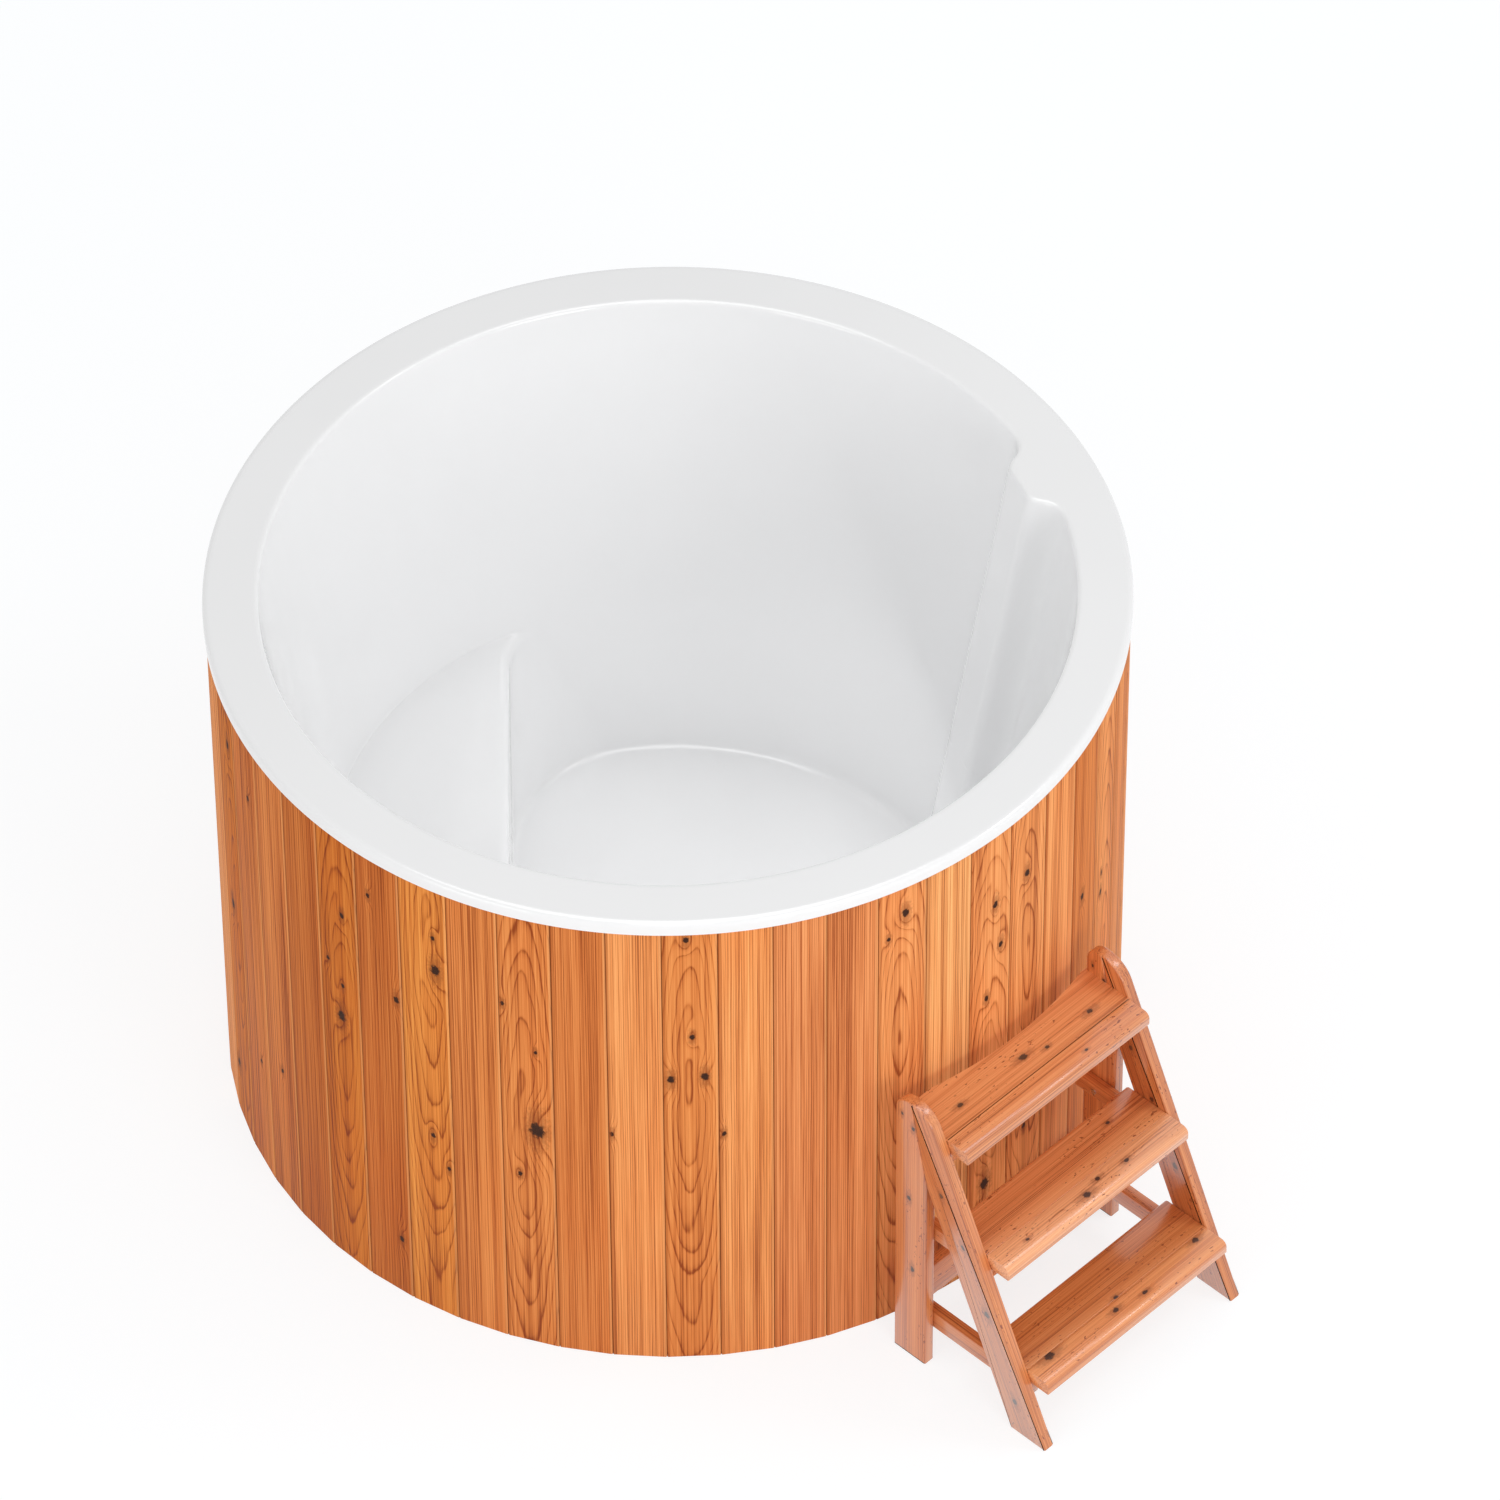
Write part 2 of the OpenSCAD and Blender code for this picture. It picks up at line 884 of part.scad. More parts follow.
module low_rails() {
    color("sandybrown")
        side_bars(leg_u + leg_t, top_board_z[0] - low_rail_h, top_board_z[0]);
}

module mid_bearers() {
    color("sandybrown")
        side_bars(leg_u, top_board_z[1] - bearer_h, top_board_z[1]);
}

module top_bearers() {
    color("sandybrown")
        side_bars(leg_u, top_board_z[2] - bearer_h, top_board_z[2]);
}

module cross_rail() {
    z0 = top_board_z[0] - low_rail_h;
    color("peru")
        step_box([in_left, in_right], [leg_u, leg_u + leg_t], [z0, z0 + cross_h]);
}

// A tread's side view from u0 to u1, with one rounded top edge
module tread_view(u0, u1, z, r, nose) {
    difference() {
        translate([u0, z - tread_t])
            square([u1 - u0, tread_t]);
        if (nose)
            difference() {
                translate([u1 - r, z - r])
                    square(2 * r);
                translate([u1 - r, z - r])
                    circle(r = r);
            }
        else
            difference() {
                translate([u0 - r, z - r])
                    square([2 * r, 2 * r]);
                translate([u0 + r, z - r])
                    circle(r = r);
                translate([u0 + r, z - 2 * r])
                    square([r + cut, 4 * r]);
            }
    }
}

module tread_board(k) {
    z = step_z[k];
    u0 = k == 2 ? leg_u : nose_u(z) - tread_depth;
    side_view(in_right, in_right - in_left)
        tread_view(u0, front_u(z) - seam, z, tread_back_round, false);
}

module tread_nosing(k) {
    z = step_z[k];
    side_view(in_right, in_right - in_left)
        tread_view(front_u(z), nose_u(z), z, nose_round, true);
}

module tread_low_board() {
    color("sandybrown")
        tread_board(0);
}

module tread_low_nosing() {
    color("salmon")
        tread_nosing(0);
}

module tread_mid_board() {
    color("sandybrown")
        tread_board(1);
}

module tread_mid_nosing() {
    color("salmon")
        tread_nosing(1);
}

// The top tread's back follows the tub's curve
module tread_top_board() {
    color("sandybrown")
        difference() {
            tread_board(2);
            cylinder(r = tub_r + tread_clear, h = side_top);
        }
}

module tread_top_nosing() {
    color("salmon")
        tread_nosing(2);
}

// Screws through each bar into the legs: their shanks with radius r, or heads of height head
module step_shanks(r, head) {
    rows = [top_board_z[0] - low_rail_h / 2, top_board_z[1] - bearer_h / 2,
        top_board_z[2] - bearer_h / 2];
    l = 2 * leg_t - 5;
    for (z = rows)
        for (u = [leg_u + leg_w * 0.6, front_u(z) - leg_run / 2])
            for (s = [-1, 1]) {
                x = s < 0 ? in_left + leg_t : in_right - leg_t;
                translate([x, -u, z])
                    rotate([0, s * 90, 0])
                        cylinder(r = r, h = l);
                if (head > 0)
                    translate([x, -u, z])
                        rotate([0, -s * 90, 0])
                            cylinder(r = 2 * r, h = head);
            }
}

module step_screws() {
    color("silver")
        step_shanks(step_screw_r, 1.5);
}

liner();
cladding_boards();
joists();
joist_tie();
base_board();
ring_bottom();
ring_middle();
ring_top();
rim_ring();
studs();
insulation_panels();
seat_rail();
seat_gables();
frame_screws();
drain_flange();
drain_gasket();
drain_strainer();
drain_nut();
drain_sump();
drain_pipe();
pipe_clips();
outlet_plate();
valve_body();
union_nuts();
valve_seats();
gland_nut();
outlet_spigot();
valve_ball();
valve_stem();
valve_lever();
lever_screw();
rear_leg_left();
rear_leg_right();
front_leg_left();
front_leg_right();
low_rails();
mid_bearers();
top_bearers();
cross_rail();
tread_low_board();
tread_low_nosing();
tread_mid_board();
tread_mid_nosing();
tread_top_board();
tread_top_nosing();
step_screws();
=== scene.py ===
"""Dressed scene of a round plunge tub with a moulded liner, wooden boards and loose steps.

Everything is in metres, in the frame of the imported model: Z up along the tub's axis, the
steps on the -Y side, the drain on the +Y side.
"""

from __future__ import annotations

import json
import logging
import math
from dataclasses import dataclass, field
from enum import Enum
from functools import partial
from typing import Callable, Iterable, Sequence

import bpy
import numpy as np
from mathutils import Matrix, Vector

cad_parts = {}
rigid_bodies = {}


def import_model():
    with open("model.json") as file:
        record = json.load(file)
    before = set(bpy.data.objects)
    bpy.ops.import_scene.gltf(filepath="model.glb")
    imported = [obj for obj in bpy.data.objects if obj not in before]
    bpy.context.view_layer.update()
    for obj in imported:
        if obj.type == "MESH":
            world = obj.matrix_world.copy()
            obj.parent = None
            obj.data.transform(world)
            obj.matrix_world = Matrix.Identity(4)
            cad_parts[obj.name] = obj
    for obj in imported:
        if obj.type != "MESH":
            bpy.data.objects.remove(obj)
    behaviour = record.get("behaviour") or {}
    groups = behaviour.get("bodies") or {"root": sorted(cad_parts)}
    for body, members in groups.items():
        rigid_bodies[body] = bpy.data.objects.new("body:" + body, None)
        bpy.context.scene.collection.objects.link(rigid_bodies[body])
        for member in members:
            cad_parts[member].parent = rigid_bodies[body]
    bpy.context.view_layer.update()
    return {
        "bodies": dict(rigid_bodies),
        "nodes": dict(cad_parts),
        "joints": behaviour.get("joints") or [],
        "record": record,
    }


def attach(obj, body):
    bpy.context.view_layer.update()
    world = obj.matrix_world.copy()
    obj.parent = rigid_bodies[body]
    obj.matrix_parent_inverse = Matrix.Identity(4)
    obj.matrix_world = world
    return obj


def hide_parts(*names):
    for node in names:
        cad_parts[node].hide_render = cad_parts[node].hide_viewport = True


LOG = logging.getLogger("plunge_tub")

Color = tuple[float, float, float]
Point = tuple[float, float, float]
Array = np.ndarray
Socket = bpy.types.NodeSocket

# Knots that a board's wood can show
KNOTS = 4


# Meshes


def grid_quads(rows: int, cols: int, wrap: bool = True, start: int = 0) -> Array:
    """Quads of a grid of rows by cols points, numbered row by row.

    Args:
        rows: Number of rows of points.
        cols: Number of points in a row.
        wrap: Whether the last column joins the first.
        start: Number of the first point.

    Returns:
        An (n, 4) array of point numbers.
    """
    span = cols if wrap else cols - 1
    i, j = np.meshgrid(np.arange(rows - 1), np.arange(span), indexing="ij")
    k = (j + 1) % cols
    quads = np.stack([i * cols + j, i * cols + k, (i + 1) * cols + k, (i + 1) * cols + j], -1)
    return quads.reshape(-1, 4) + start


def signed_volume(points: Array, faces: Sequence[Sequence[int]]) -> float:
    """Volume inside closed faces: a sixth of the sum of a . (b x c) over fans of triangles.

    Args:
        points: (n, 3) points.
        faces: Faces as lists of point numbers.

    Returns:
        The volume, negative where the faces point inwards.
    """
    tris = np.array([(f[0], f[k], f[k + 1]) for f in faces for k in range(1, len(f) - 1)])
    a, b, c = points[tris[:, 0]], points[tris[:, 1]], points[tris[:, 2]]
    return float(np.einsum("ij,ij->i", a, np.cross(b, c)).sum() / 6.0)


def new_piece(
    name: str,
    points: Array,
    faces: Sequence[Sequence[int]],
    body: str,
    nodes: Sequence[str],
    smooth_angle: float | None = None,
) -> bpy.types.Object:
    """Makes a closed mesh into a piece that rides on a body and stands for CAD nodes.

    Args:
        name: Name of the piece.
        points: (n, 3) points in metres.
        faces: Faces as lists of point numbers.
        body: Body that the piece moves with.
        nodes: CAD nodes that the piece replaces.
        smooth_angle: Angle in degrees above which an edge stays sharp, or None for all smooth.

    Returns:
        The new object, at the origin.
    """
    if signed_volume(points, faces) < 0:
        faces = [tuple(reversed(tuple(f))) for f in faces]
    mesh = bpy.data.meshes.new(name)
    mesh.from_pydata(points.tolist(), [], [tuple(int(i) for i in f) for f in faces])
    mesh.validate()
    mesh.shade_smooth()
    if smooth_angle is not None:
        mesh.set_sharp_from_angle(angle=math.radians(smooth_angle))
    obj = bpy.data.objects.new(name, mesh)
    bpy.context.scene.collection.objects.link(obj)
    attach(obj, body)
    if nodes:
        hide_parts(*nodes)
    LOG.info("%s: %d points, %d faces", name, len(mesh.vertices), len(mesh.polygons))
    return obj


def set_vectors(obj: bpy.types.Object, name: str, values: Array) -> None:
    """Stores one vector for each point of a mesh under an attribute's name."""
    attribute = obj.data.attributes.new(name, "FLOAT_VECTOR", "POINT")
    attribute.data.foreach_set("vector", np.ascontiguousarray(values, np.float32).ravel())


def rounded_outline(
    corners: Sequence[Sequence[float]], radii: Sequence[float], steps: int = 4
) -> Array:
    """A closed outline whose corners are arcs tangent to both sides.

    Each corner with radius r becomes points c + r * n, with n turning from one side's normal
    to the next side's and c at r / sin(half the corner's angle) along the bisector.

    Args:
        corners: The sharp corners, counter-clockwise.
        radii: One radius for each corner, 0 for a sharp one.
        steps: Number of pieces in each arc.

    Returns:
        An (n, 2) array of points.
    """
    pts = np.asarray(corners, float)
    out: list[Array] = []
    for i, radius in enumerate(radii):
        here = pts[i]
        back = pts[i - 1] - here
        ahead = pts[(i + 1) % len(pts)] - here
        back, ahead = back / np.linalg.norm(back), ahead / np.linalg.norm(ahead)
        if radius <= 0:
            out.append(here[None, :])
            continue
        turn = math.acos(float(np.clip(back @ ahead, -1, 1))) / 2
        centre = here + (back + ahead) / np.linalg.norm(back + ahead) * radius / math.sin(turn)
        first = here + back * radius / math.tan(turn) - centre
        last = here + ahead * radius / math.tan(turn) - centre
        t = np.linspace(0, 1, steps + 1)[:, None]
        sweep = math.acos(float(np.clip(first @ last / radius**2, -1, 1)))
        arc = (np.sin((1 - t) * sweep) * first + np.sin(t * sweep) * last) / math.sin(sweep)
        out.append(centre + arc)
    return np.concatenate(out)


def inset(outline: Array, distance: float) -> Array:
    """Moves a counter-clockwise outline inwards by a distance, corner by corner.

    Each point moves along the sum of its two sides' normals, over 1 + their product.

    Args:
        outline: (n, 2) points.
        distance: Distance inwards.

    Returns:
        The moved points.
    """
    side = np.roll(outline, -1, 0) - outline
    side = side / np.linalg.norm(side, axis=1, keepdims=True)
    normal = np.stack([-side[:, 1], side[:, 0]], 1)
    before = np.roll(normal, 1, 0)
    total = normal + before
    scale = 1 + (normal * before).sum(1, keepdims=True)
    least = 0.3
    return outline + distance * total / np.maximum(scale, least)


def prism(outline: Array, low: float, high: float, edge: float, steps: int = 3) -> tuple[Array, list]:
    """A prism over an outline, its end edges rounded.

    Ring k of an end lies edge * (1 - sin t) inside the outline at edge * (1 - cos t) from the
    end's face, with t from 0 to a right angle.

    Args:
        outline: Counter-clockwise (n, 2) points.
        low: Lower end.
        high: Upper end.
        edge: Radius of the end edges.
        steps: Number of pieces in each rounded edge.

    Returns:
        (m, 3) points with the outline in the first two columns, and the faces.
    """
    angle = np.linspace(0, math.pi / 2, steps + 1)
    rings = []
    for end, way, turns in ((low, 1.0, angle), (high, -1.0, angle[::-1])):
        for t in turns:
            flat = inset(outline, edge * (1 - math.sin(t)))
            height = end + way * edge * (1 - math.cos(t))
            rings.append(np.column_stack([flat, np.full(len(flat), height)]))
    points = np.concatenate(rings)
    n = len(outline)
    faces: list = [tuple(q) for q in grid_quads(len(rings), n).tolist()]
    faces.append(tuple(range(n - 1, -1, -1)))
    faces.append(tuple(range(len(points) - n, len(points))))
    return points, faces


def shares(count: int) -> Array:
    """Equal steps from 0 to 1, without the 0."""
    return np.linspace(0, 1, count + 1)[1:]


def steps_between(first: object, last: object, count: int) -> list:
    """Values from the first, which is left out, to the last: (1 - t) * first + t * last.

    Args:
        first: Number or array that the steps start from.
        last: The one that they end at.
        count: Number of steps.

    Returns:
        One value for each step.
    """
    return [(1 - t) * first + t * last for t in shares(count)]


# Node trees


class Graph:
    """A material's node tree with short calls for the nodes used here."""

    def __init__(self, name: str) -> None:
        """Starts a material with a Principled shader joined to its output.

        Args:
            name: Name of the material.
        """
        self.material = bpy.data.materials.new(name)
        self.material.use_nodes = True
        self.tree = self.material.node_tree
        self.tree.nodes.clear()
        output = self.tree.nodes.new("ShaderNodeOutputMaterial")
        self.shader = self.tree.nodes.new("ShaderNodeBsdfPrincipled")
        self.tree.links.new(self.shader.outputs[0], output.inputs["Surface"])

    def feed(self, socket: Socket, value: object) -> None:
        """Joins a socket to another, or sets its own value.

        Args:
            socket: The input.
            value: Another node's output, or a number, vector or colour.
        """
        if isinstance(value, bpy.types.NodeSocket):
            self.tree.links.new(value, socket)
        elif isinstance(value, (tuple, list)) and len(value) == 3 and socket.type == "RGBA":
            socket.default_value = (*value, 1.0)
        else:
            socket.default_value = value

    def node(self, kind: str, **inputs: object) -> bpy.types.Node:
        """Adds a node and feeds its named inputs, with _ for a space.

        Args:
            kind: Type of the node.
            **inputs: What each input gets, its name with _ for a space.

        Returns:
            The node.
        """
        node = self.tree.nodes.new(kind)
        for key, value in inputs.items():
            self.feed(node.inputs[key.replace("_", " ")], value)
        return node

    def math(self, operation: str, *values: object, clamp: bool = False) -> Socket:
        """A Math node's result.

        Args:
            operation: Its operation.
            *values: Its inputs in order.
            clamp: Whether the result is kept from 0 to 1.

        Returns:
            Its output.
        """
        node = self.tree.nodes.new("ShaderNodeMath")
        node.operation = operation
        node.use_clamp = clamp
        for socket, value in zip(node.inputs, values):
            self.feed(socket, value)
        return node.outputs[0]

    def add(self, a: object, b: object) -> Socket:
        """The sum of two values."""
        return self.math("ADD", a, b)

    def sub(self, a: object, b: object) -> Socket:
        """The first value less the second."""
        return self.math("SUBTRACT", a, b)

    def mul(self, a: object, b: object) -> Socket:
        """The product of two values."""
        return self.math("MULTIPLY", a, b)

    def mul_add(self, a: object, b: object, c: object) -> Socket:
        """The product of two values, plus a third."""
        return self.math("MULTIPLY_ADD", a, b, c)

    def squared(self, value: object, scale: float) -> Socket:
        """The square of a value times a scale."""
        return self.math("POWER", self.mul(value, scale), 2.0)

    def vector(self, operation: str, *values: object) -> Socket:
        """A Vector Math node's vector.

        Args:
            operation: Its operation.
            *values: Its inputs in order.

        Returns:
            Its output.
        """
        node = self.tree.nodes.new("ShaderNodeVectorMath")
        node.operation = operation
        for socket, value in zip(node.inputs, values):
            self.feed(socket, value)
        return node.outputs[0]

    def split(self, vector: object) -> tuple[Socket, Socket, Socket]:
        """The three parts of a vector."""
        node = self.node("ShaderNodeSeparateXYZ", Vector=vector)
        return node.outputs[0], node.outputs[1], node.outputs[2]

    def join(self, x: object, y: object, z: object) -> Socket:
        """A vector from three parts."""
        return self.node("ShaderNodeCombineXYZ", X=x, Y=y, Z=z).outputs[0]

    def object_coords(self) -> Socket:
        """Object coordinates, which are the model's own metres."""
        return self.node("ShaderNodeTexCoord").outputs["Object"]

    def attribute(self, name: str) -> Socket:
        """A vector attribute of the mesh.

        Args:
            name: Its name.

        Returns:
            Its vector.
        """
        node = self.tree.nodes.new("ShaderNodeAttribute")
        node.attribute_name = name
        return node.outputs["Vector"]

    def noise(
        self,
        vector: object,
        scale: float,
        detail: float = 2.0,
        rough: float = 0.5,
        distort: float = 0.0,
    ) -> Socket:
        """A noise texture's height, from 0 to 1.

        Args:
            vector: Where it is read.
            scale: Its scale.
            detail: Its number of octaves.
            rough: How strong the finer ones are.
            distort: How far it bends itself.

        Returns:
            The height.
        """
        settings = {"Scale": scale, "Detail": detail, "Roughness": rough, "Distortion": distort}
        return self.node("ShaderNodeTexNoise", Vector=vector, **settings).outputs[0]

    def grain(
        self, place: object, across: float, along: float, detail: float = 2.0, rough: float = 0.5
    ) -> Socket:
        """Noise drawn out along the third axis, its scales across and along it in 1/m.

        Args:
            place: Where it is read, in metres.
            across: Scale along the first two axes.
            along: Scale along the third.
            detail: Its number of octaves.
            rough: How strong the finer ones are.

        Returns:
            The height, from 0 to 1.
        """
        return self.noise(self.stretch(place, across, across, along), 1.0, detail, rough)

    def stretch(self, vector: object, x: float, y: float, z: float) -> Socket:
        """A vector with each part multiplied."""
        return self.vector("MULTIPLY", vector, (x, y, z))

    def blend(self, factor: object, a: object, b: object, mode: str = "MIX") -> Socket:
        """Two colours blended.

        Args:
            factor: Share of the second, from 0 to 1.
            a: The first.
            b: The second.
            mode: How they blend.

        Returns:
            The colour.
        """
        node = self.tree.nodes.new("ShaderNodeMix")
        node.data_type = "RGBA"
        node.blend_type = mode
        self.feed(node.inputs[0], factor)
        self.feed(node.inputs[6], a)
        self.feed(node.inputs[7], b)
        return node.outputs[2]

    def between(
        self, value: object, low: float, high: float, out_low: float = 0.0, out_high: float = 1.0
    ) -> Socket:
        """A value moved from one range to another, with soft ends.

        Args:
            value: The value.
            low: Start of its range.
            high: End of its range.
            out_low: Result at the start.
            out_high: Result at the end.

        Returns:
            The result.
        """
        ends = {"From_Min": low, "From_Max": high, "To_Min": out_low, "To_Max": out_high}
        node = self.node("ShaderNodeMapRange", Value=value, **ends)
        node.interpolation_type = "SMOOTHSTEP"
        return node.outputs[0]

    def ramp(self, factor: object, stops: Iterable[tuple[float, float]]) -> Socket:
        """A curve of grey levels given as (place, level) pairs.

        Args:
            factor: Place on the curve.
            stops: The pairs, from 0 to 1.

        Returns:
            The level.
        """
        node = self.tree.nodes.new("ShaderNodeValToRGB")
        self.feed(node.inputs[0], factor)
        elements = node.color_ramp.elements
        pairs = list(stops)
        while len(elements) < len(pairs):
            elements.new(0.5)
        for element, (place, level) in zip(elements, pairs):
            element.position = place
            element.color = (level, level, level, 1.0)
        return node.outputs[0]

    def bump(self, height: object, distance: float, strength: float = 1.0) -> Socket:
        """A normal bent by a height.

        Args:
            height: The height, from 0 to 1.
            distance: What a height of 1 is in metres.
            strength: Share of the bend that is used.

        Returns:
            The normal.
        """
        node = self.node("ShaderNodeBump", Height=height)
        node.inputs["Distance"].default_value = distance
        node.inputs["Strength"].default_value = strength
        return node.outputs[0]

    def finish(self, **sockets: object) -> bpy.types.Material:
        """Feeds the shader's named sockets, with _ for a space, and returns the material.

        Args:
            **sockets: What each socket gets, its name with _ for a space.

        Returns:
            The material.
        """
        for key, value in sockets.items():
            self.feed(self.shader.inputs[key.replace("_", " ")], value)
        return self.material


# Finishes


@dataclass(frozen=True)
class GelCoat:
    """Glossy white moulded resin, with the faint waviness of a sprayed coat."""

    name: str = "gel_coat"
    color: Color = (0.915, 0.917, 0.922)
    roughness: float = 0.12
    coat: float = 0.35
    cloud_scale: float = 2.3
    wave_scale: float = 9.0
    peel_scale: float = 260.0
    smear_scale: float = 30.0

    def build(self) -> bpy.types.Material:
        """Builds the material.

        Returns:
            The material.
        """
        g = Graph(self.name)
        where = g.object_coords()
        cloud = g.between(g.noise(where, self.cloud_scale, 3.0), 0.3, 0.7)
        tint = g.blend(cloud, tuple(c * 0.985 for c in self.color), self.color)
        peel = g.noise(where, self.peel_scale, 1.0)
        height = g.add(g.noise(where, self.wave_scale), g.mul(peel, 0.02))
        smear = g.noise(where, self.smear_scale, 3.0)
        return g.finish(
            Base_Color=tint,
            Roughness=g.between(smear, 0.3, 0.7, self.roughness * 0.85, self.roughness * 1.2),
            Coat_Weight=self.coat,
            Coat_Roughness=0.04,
            Normal=g.bump(height, 0.0012, 0.35),
        )


@dataclass(frozen=True)
class FigureWood:
    """Oiled softwood with growth rings, fibres and knots, laid out by the mesh's attributes.

    The rings are shells round the log's pith: ring number = distance from the pith, bent by
    slow noise and pushed out round each knot, over the ring spacing. Along the board the pith
    moves away from a middle point as slope * (sqrt(dz^2 + bow^2) - bow), which gives the
    nested arches of plain-sawn boards. Lengths are in metres, and noise scales in 1/m.
    """

    name: str
    pale: Color
    mid: Color
    deep: Color
    knot: Color = (0.030, 0.012, 0.007)
    halo: Color = (0.22, 0.050, 0.014)
    blush: Color = (1.0, 0.84, 0.72)
    # The next two colours are a painted highlight and painted shade along a clad board's two edges.
    rubbed: Color = (0.95, 0.45, 0.17)
    shaded: Color = (0.34, 0.075, 0.013)
    joint: Color = (0.22, 0.050, 0.010)
    ring: float = 0.0042
    bow: float = 0.05
    roughness: float = 0.48
    level: float = 0.30
    coat: float = 0.0
    coat_roughness: float = 0.2
    half_width: float = 0.0
    contrast: float = 0.62
    fleck: float = 0.0

    def pith(
        self, g: Graph, place: Socket, x: Socket, y: Socket, z: Socket
    ) -> tuple[Socket, Socket, Socket]:
        """Where each point lies from the log's pith, which sways, leans and bows.

        Args:
            g: The node tree.
            place: Point with the board's own shift.
            x: Distance across the board.
            y: Depth below the board's face, negative inwards.
            z: Distance along the board.

        Returns:
            Distances across and in depth from the pith, and the strength of the figure.
        """
        cut_x, cut_y, lean = g.split(g.attribute("grain_cut"))
        middle, slope, figure = g.split(g.attribute("grain_bow"))
        slow = g.sub(g.grain(place, 6.0, 3.0), 0.5)
        sway = g.sub(g.grain(place, 22.0, 8.0, 1.0), 0.5)
        wave = g.mul(slow, g.mul_add(figure, 0.030, 0.006))
        wave = g.mul_add(sway, g.mul_add(figure, 0.014, 0.002), wave)
        along = g.sub(z, middle)
        arch = g.sub(g.math("SQRT", g.mul_add(along, along, self.bow**2)), self.bow)
        depth = g.mul_add(z, lean, g.add(g.sub(y, cut_y), wave))
        return g.sub(x, cut_x), g.mul_add(arch, slope, depth), figure

    def rings(
        self, g: Graph, place: Socket, dx: Socket, dy: Socket, push: Socket, pace: Socket
    ) -> Socket:
        """Growth rings round the pith.

        Args:
            g: The node tree.
            place: Point with the board's own shift.
            dx: Distance across from the pith.
            dy: Distance in depth from the pith.
            push: Distance by which knots push the rings out.
            pace: Rings in one ring spacing, below 1 where they stand wide.

        Returns:
            The late wood's darkness.
        """
        ripple = g.sub(g.grain(place, 70.0, 7.0), 0.5)
        reach = g.math("SQRT", g.add(g.mul(dx, dx), g.mul(dy, dy)))
        reach = g.add(g.mul_add(ripple, 0.0022, reach), push)
        uneven = g.noise(g.join(g.mul(reach, 48.0), 0.0, 4.0), 1.0)
        count = g.mul_add(uneven, 2.4, g.mul(g.math("DIVIDE", reach, self.ring), pace))
        stops = [(0.0, 0.16), (0.05, 0.0), (0.50, 0.04), (0.78, 0.30), (0.92, 1.0), (1.0, 0.16)]
        late = g.ramp(g.math("FRACT", count), stops)
        year = g.noise(g.join(g.mul(reach, 120.0), 3.0, 7.0), 1.0, 1.0)
        return g.mul(late, g.between(year, 0.3, 0.7, 0.45, 1.0))

    def knots(
        self, g: Graph, x: Socket, z: Socket, place: Socket
    ) -> tuple[Socket, Socket, Socket, Socket]:
        """Knots and what they do to the wood round them.

        Each is an oval of distance sqrt(ax^2 + (s * az)^2) from its middle, in radii, with its
        outline broken by noise. s is below 1, so that knots are long along the board.

        Args:
            g: The node tree.
            x: Distance across the board.
            z: Distance along the board.
            place: Point with the board's own shift.

        Returns:
            The hearts, the stained wood round them, the circles in them and the rings' push.
        """
        core: object = 0.0
        halo: object = 0.0
        circles: object = 0.0
        push: object = 0.0
        rough = g.sub(g.grain(place, 190.0, 140.0, 3.0, 0.6), 0.5)
        for number in range(1, KNOTS + 1):
            kx, kz, radius = g.split(g.attribute(f"knot_{number}"))
            size = g.math("MAXIMUM", radius, 1e-5)
            ax = g.math("DIVIDE", g.sub(x, kx), size)
            az = g.math("DIVIDE", g.sub(z, kz), size)
            wide = g.add(g.squared(ax, 0.40), g.squared(az, 0.13))
            swell = g.math("EXPONENT", g.mul(wide, -1.0))
            push = g.add(push, g.mul(swell, g.mul(radius, 2.2)))
            near = g.math("SQRT", g.add(g.mul(ax, ax), g.squared(az, 0.72)))
            near = g.mul_add(rough, 1.5, near)
            here = g.between(near, 0.70, 1.25, 1.0, 0.0)
            stain = g.math("SQRT", g.add(g.mul(ax, ax), g.squared(az, 0.38)))
            stain = g.between(g.mul_add(rough, 2.4, stain), 0.9, 2.3, 1.0, 0.0)
            core = g.math("MAXIMUM", core, here)
            halo = g.math("MAXIMUM", halo, stain)
            circle = g.mul(g.math("FRACT", g.mul(near, 2.6)), here)
            circles = g.math("MAXIMUM", circles, circle)
        return core, halo, circles, push

    def darkness(self, g: Graph, place: Socket, late: Socket, fibre: Socket) -> Socket:
        """How dark the wood is, from 0 to 1: its rings, threads, streaks, bands and fibres.

        Args:
            g: The node tree.
            place: Point with the board's own shift.
            late: The late wood's darkness.
            fibre: Height of the fibres.

        Returns:
            The darkness.
        """
        thread = g.grain(place, 400.0, 1.2, 3.0, 0.7)
        streak = g.grain(place, 70.0, 0.7, 3.0, 0.6)
        band = g.grain(place, 15.0, 0.7)
        tone = g.mul_add(late, self.contrast, g.between(thread, 0.38, 0.64, -0.06, 0.38))
        tone = g.add(tone, g.between(streak, 0.34, 0.66, -0.04, 0.26))
        tone = g.add(tone, g.between(band, 0.34, 0.66, 0.0, 0.18))
        return g.math("ADD", tone, g.between(fibre, 0.30, 0.70, -0.10, 0.14), clamp=True)

    def flecks(self, g: Graph, place: Socket, color: Socket) -> Socket:
        """The colour with small dark flecks that stand in rows.

        Args:
            g: The node tree.
            place: Point with the board's own shift.
            color: The board's own colour.

        Returns:
            The colour with its flecks.
        """
        spot = g.between(g.grain(place, 230.0, 95.0), 0.62, 0.67)
        row = g.between(g.grain(place, 40.0, 6.0, 1.0), 0.50, 0.58)
        return g.blend(g.mul(g.mul(spot, row), self.fleck), color, self.deep)

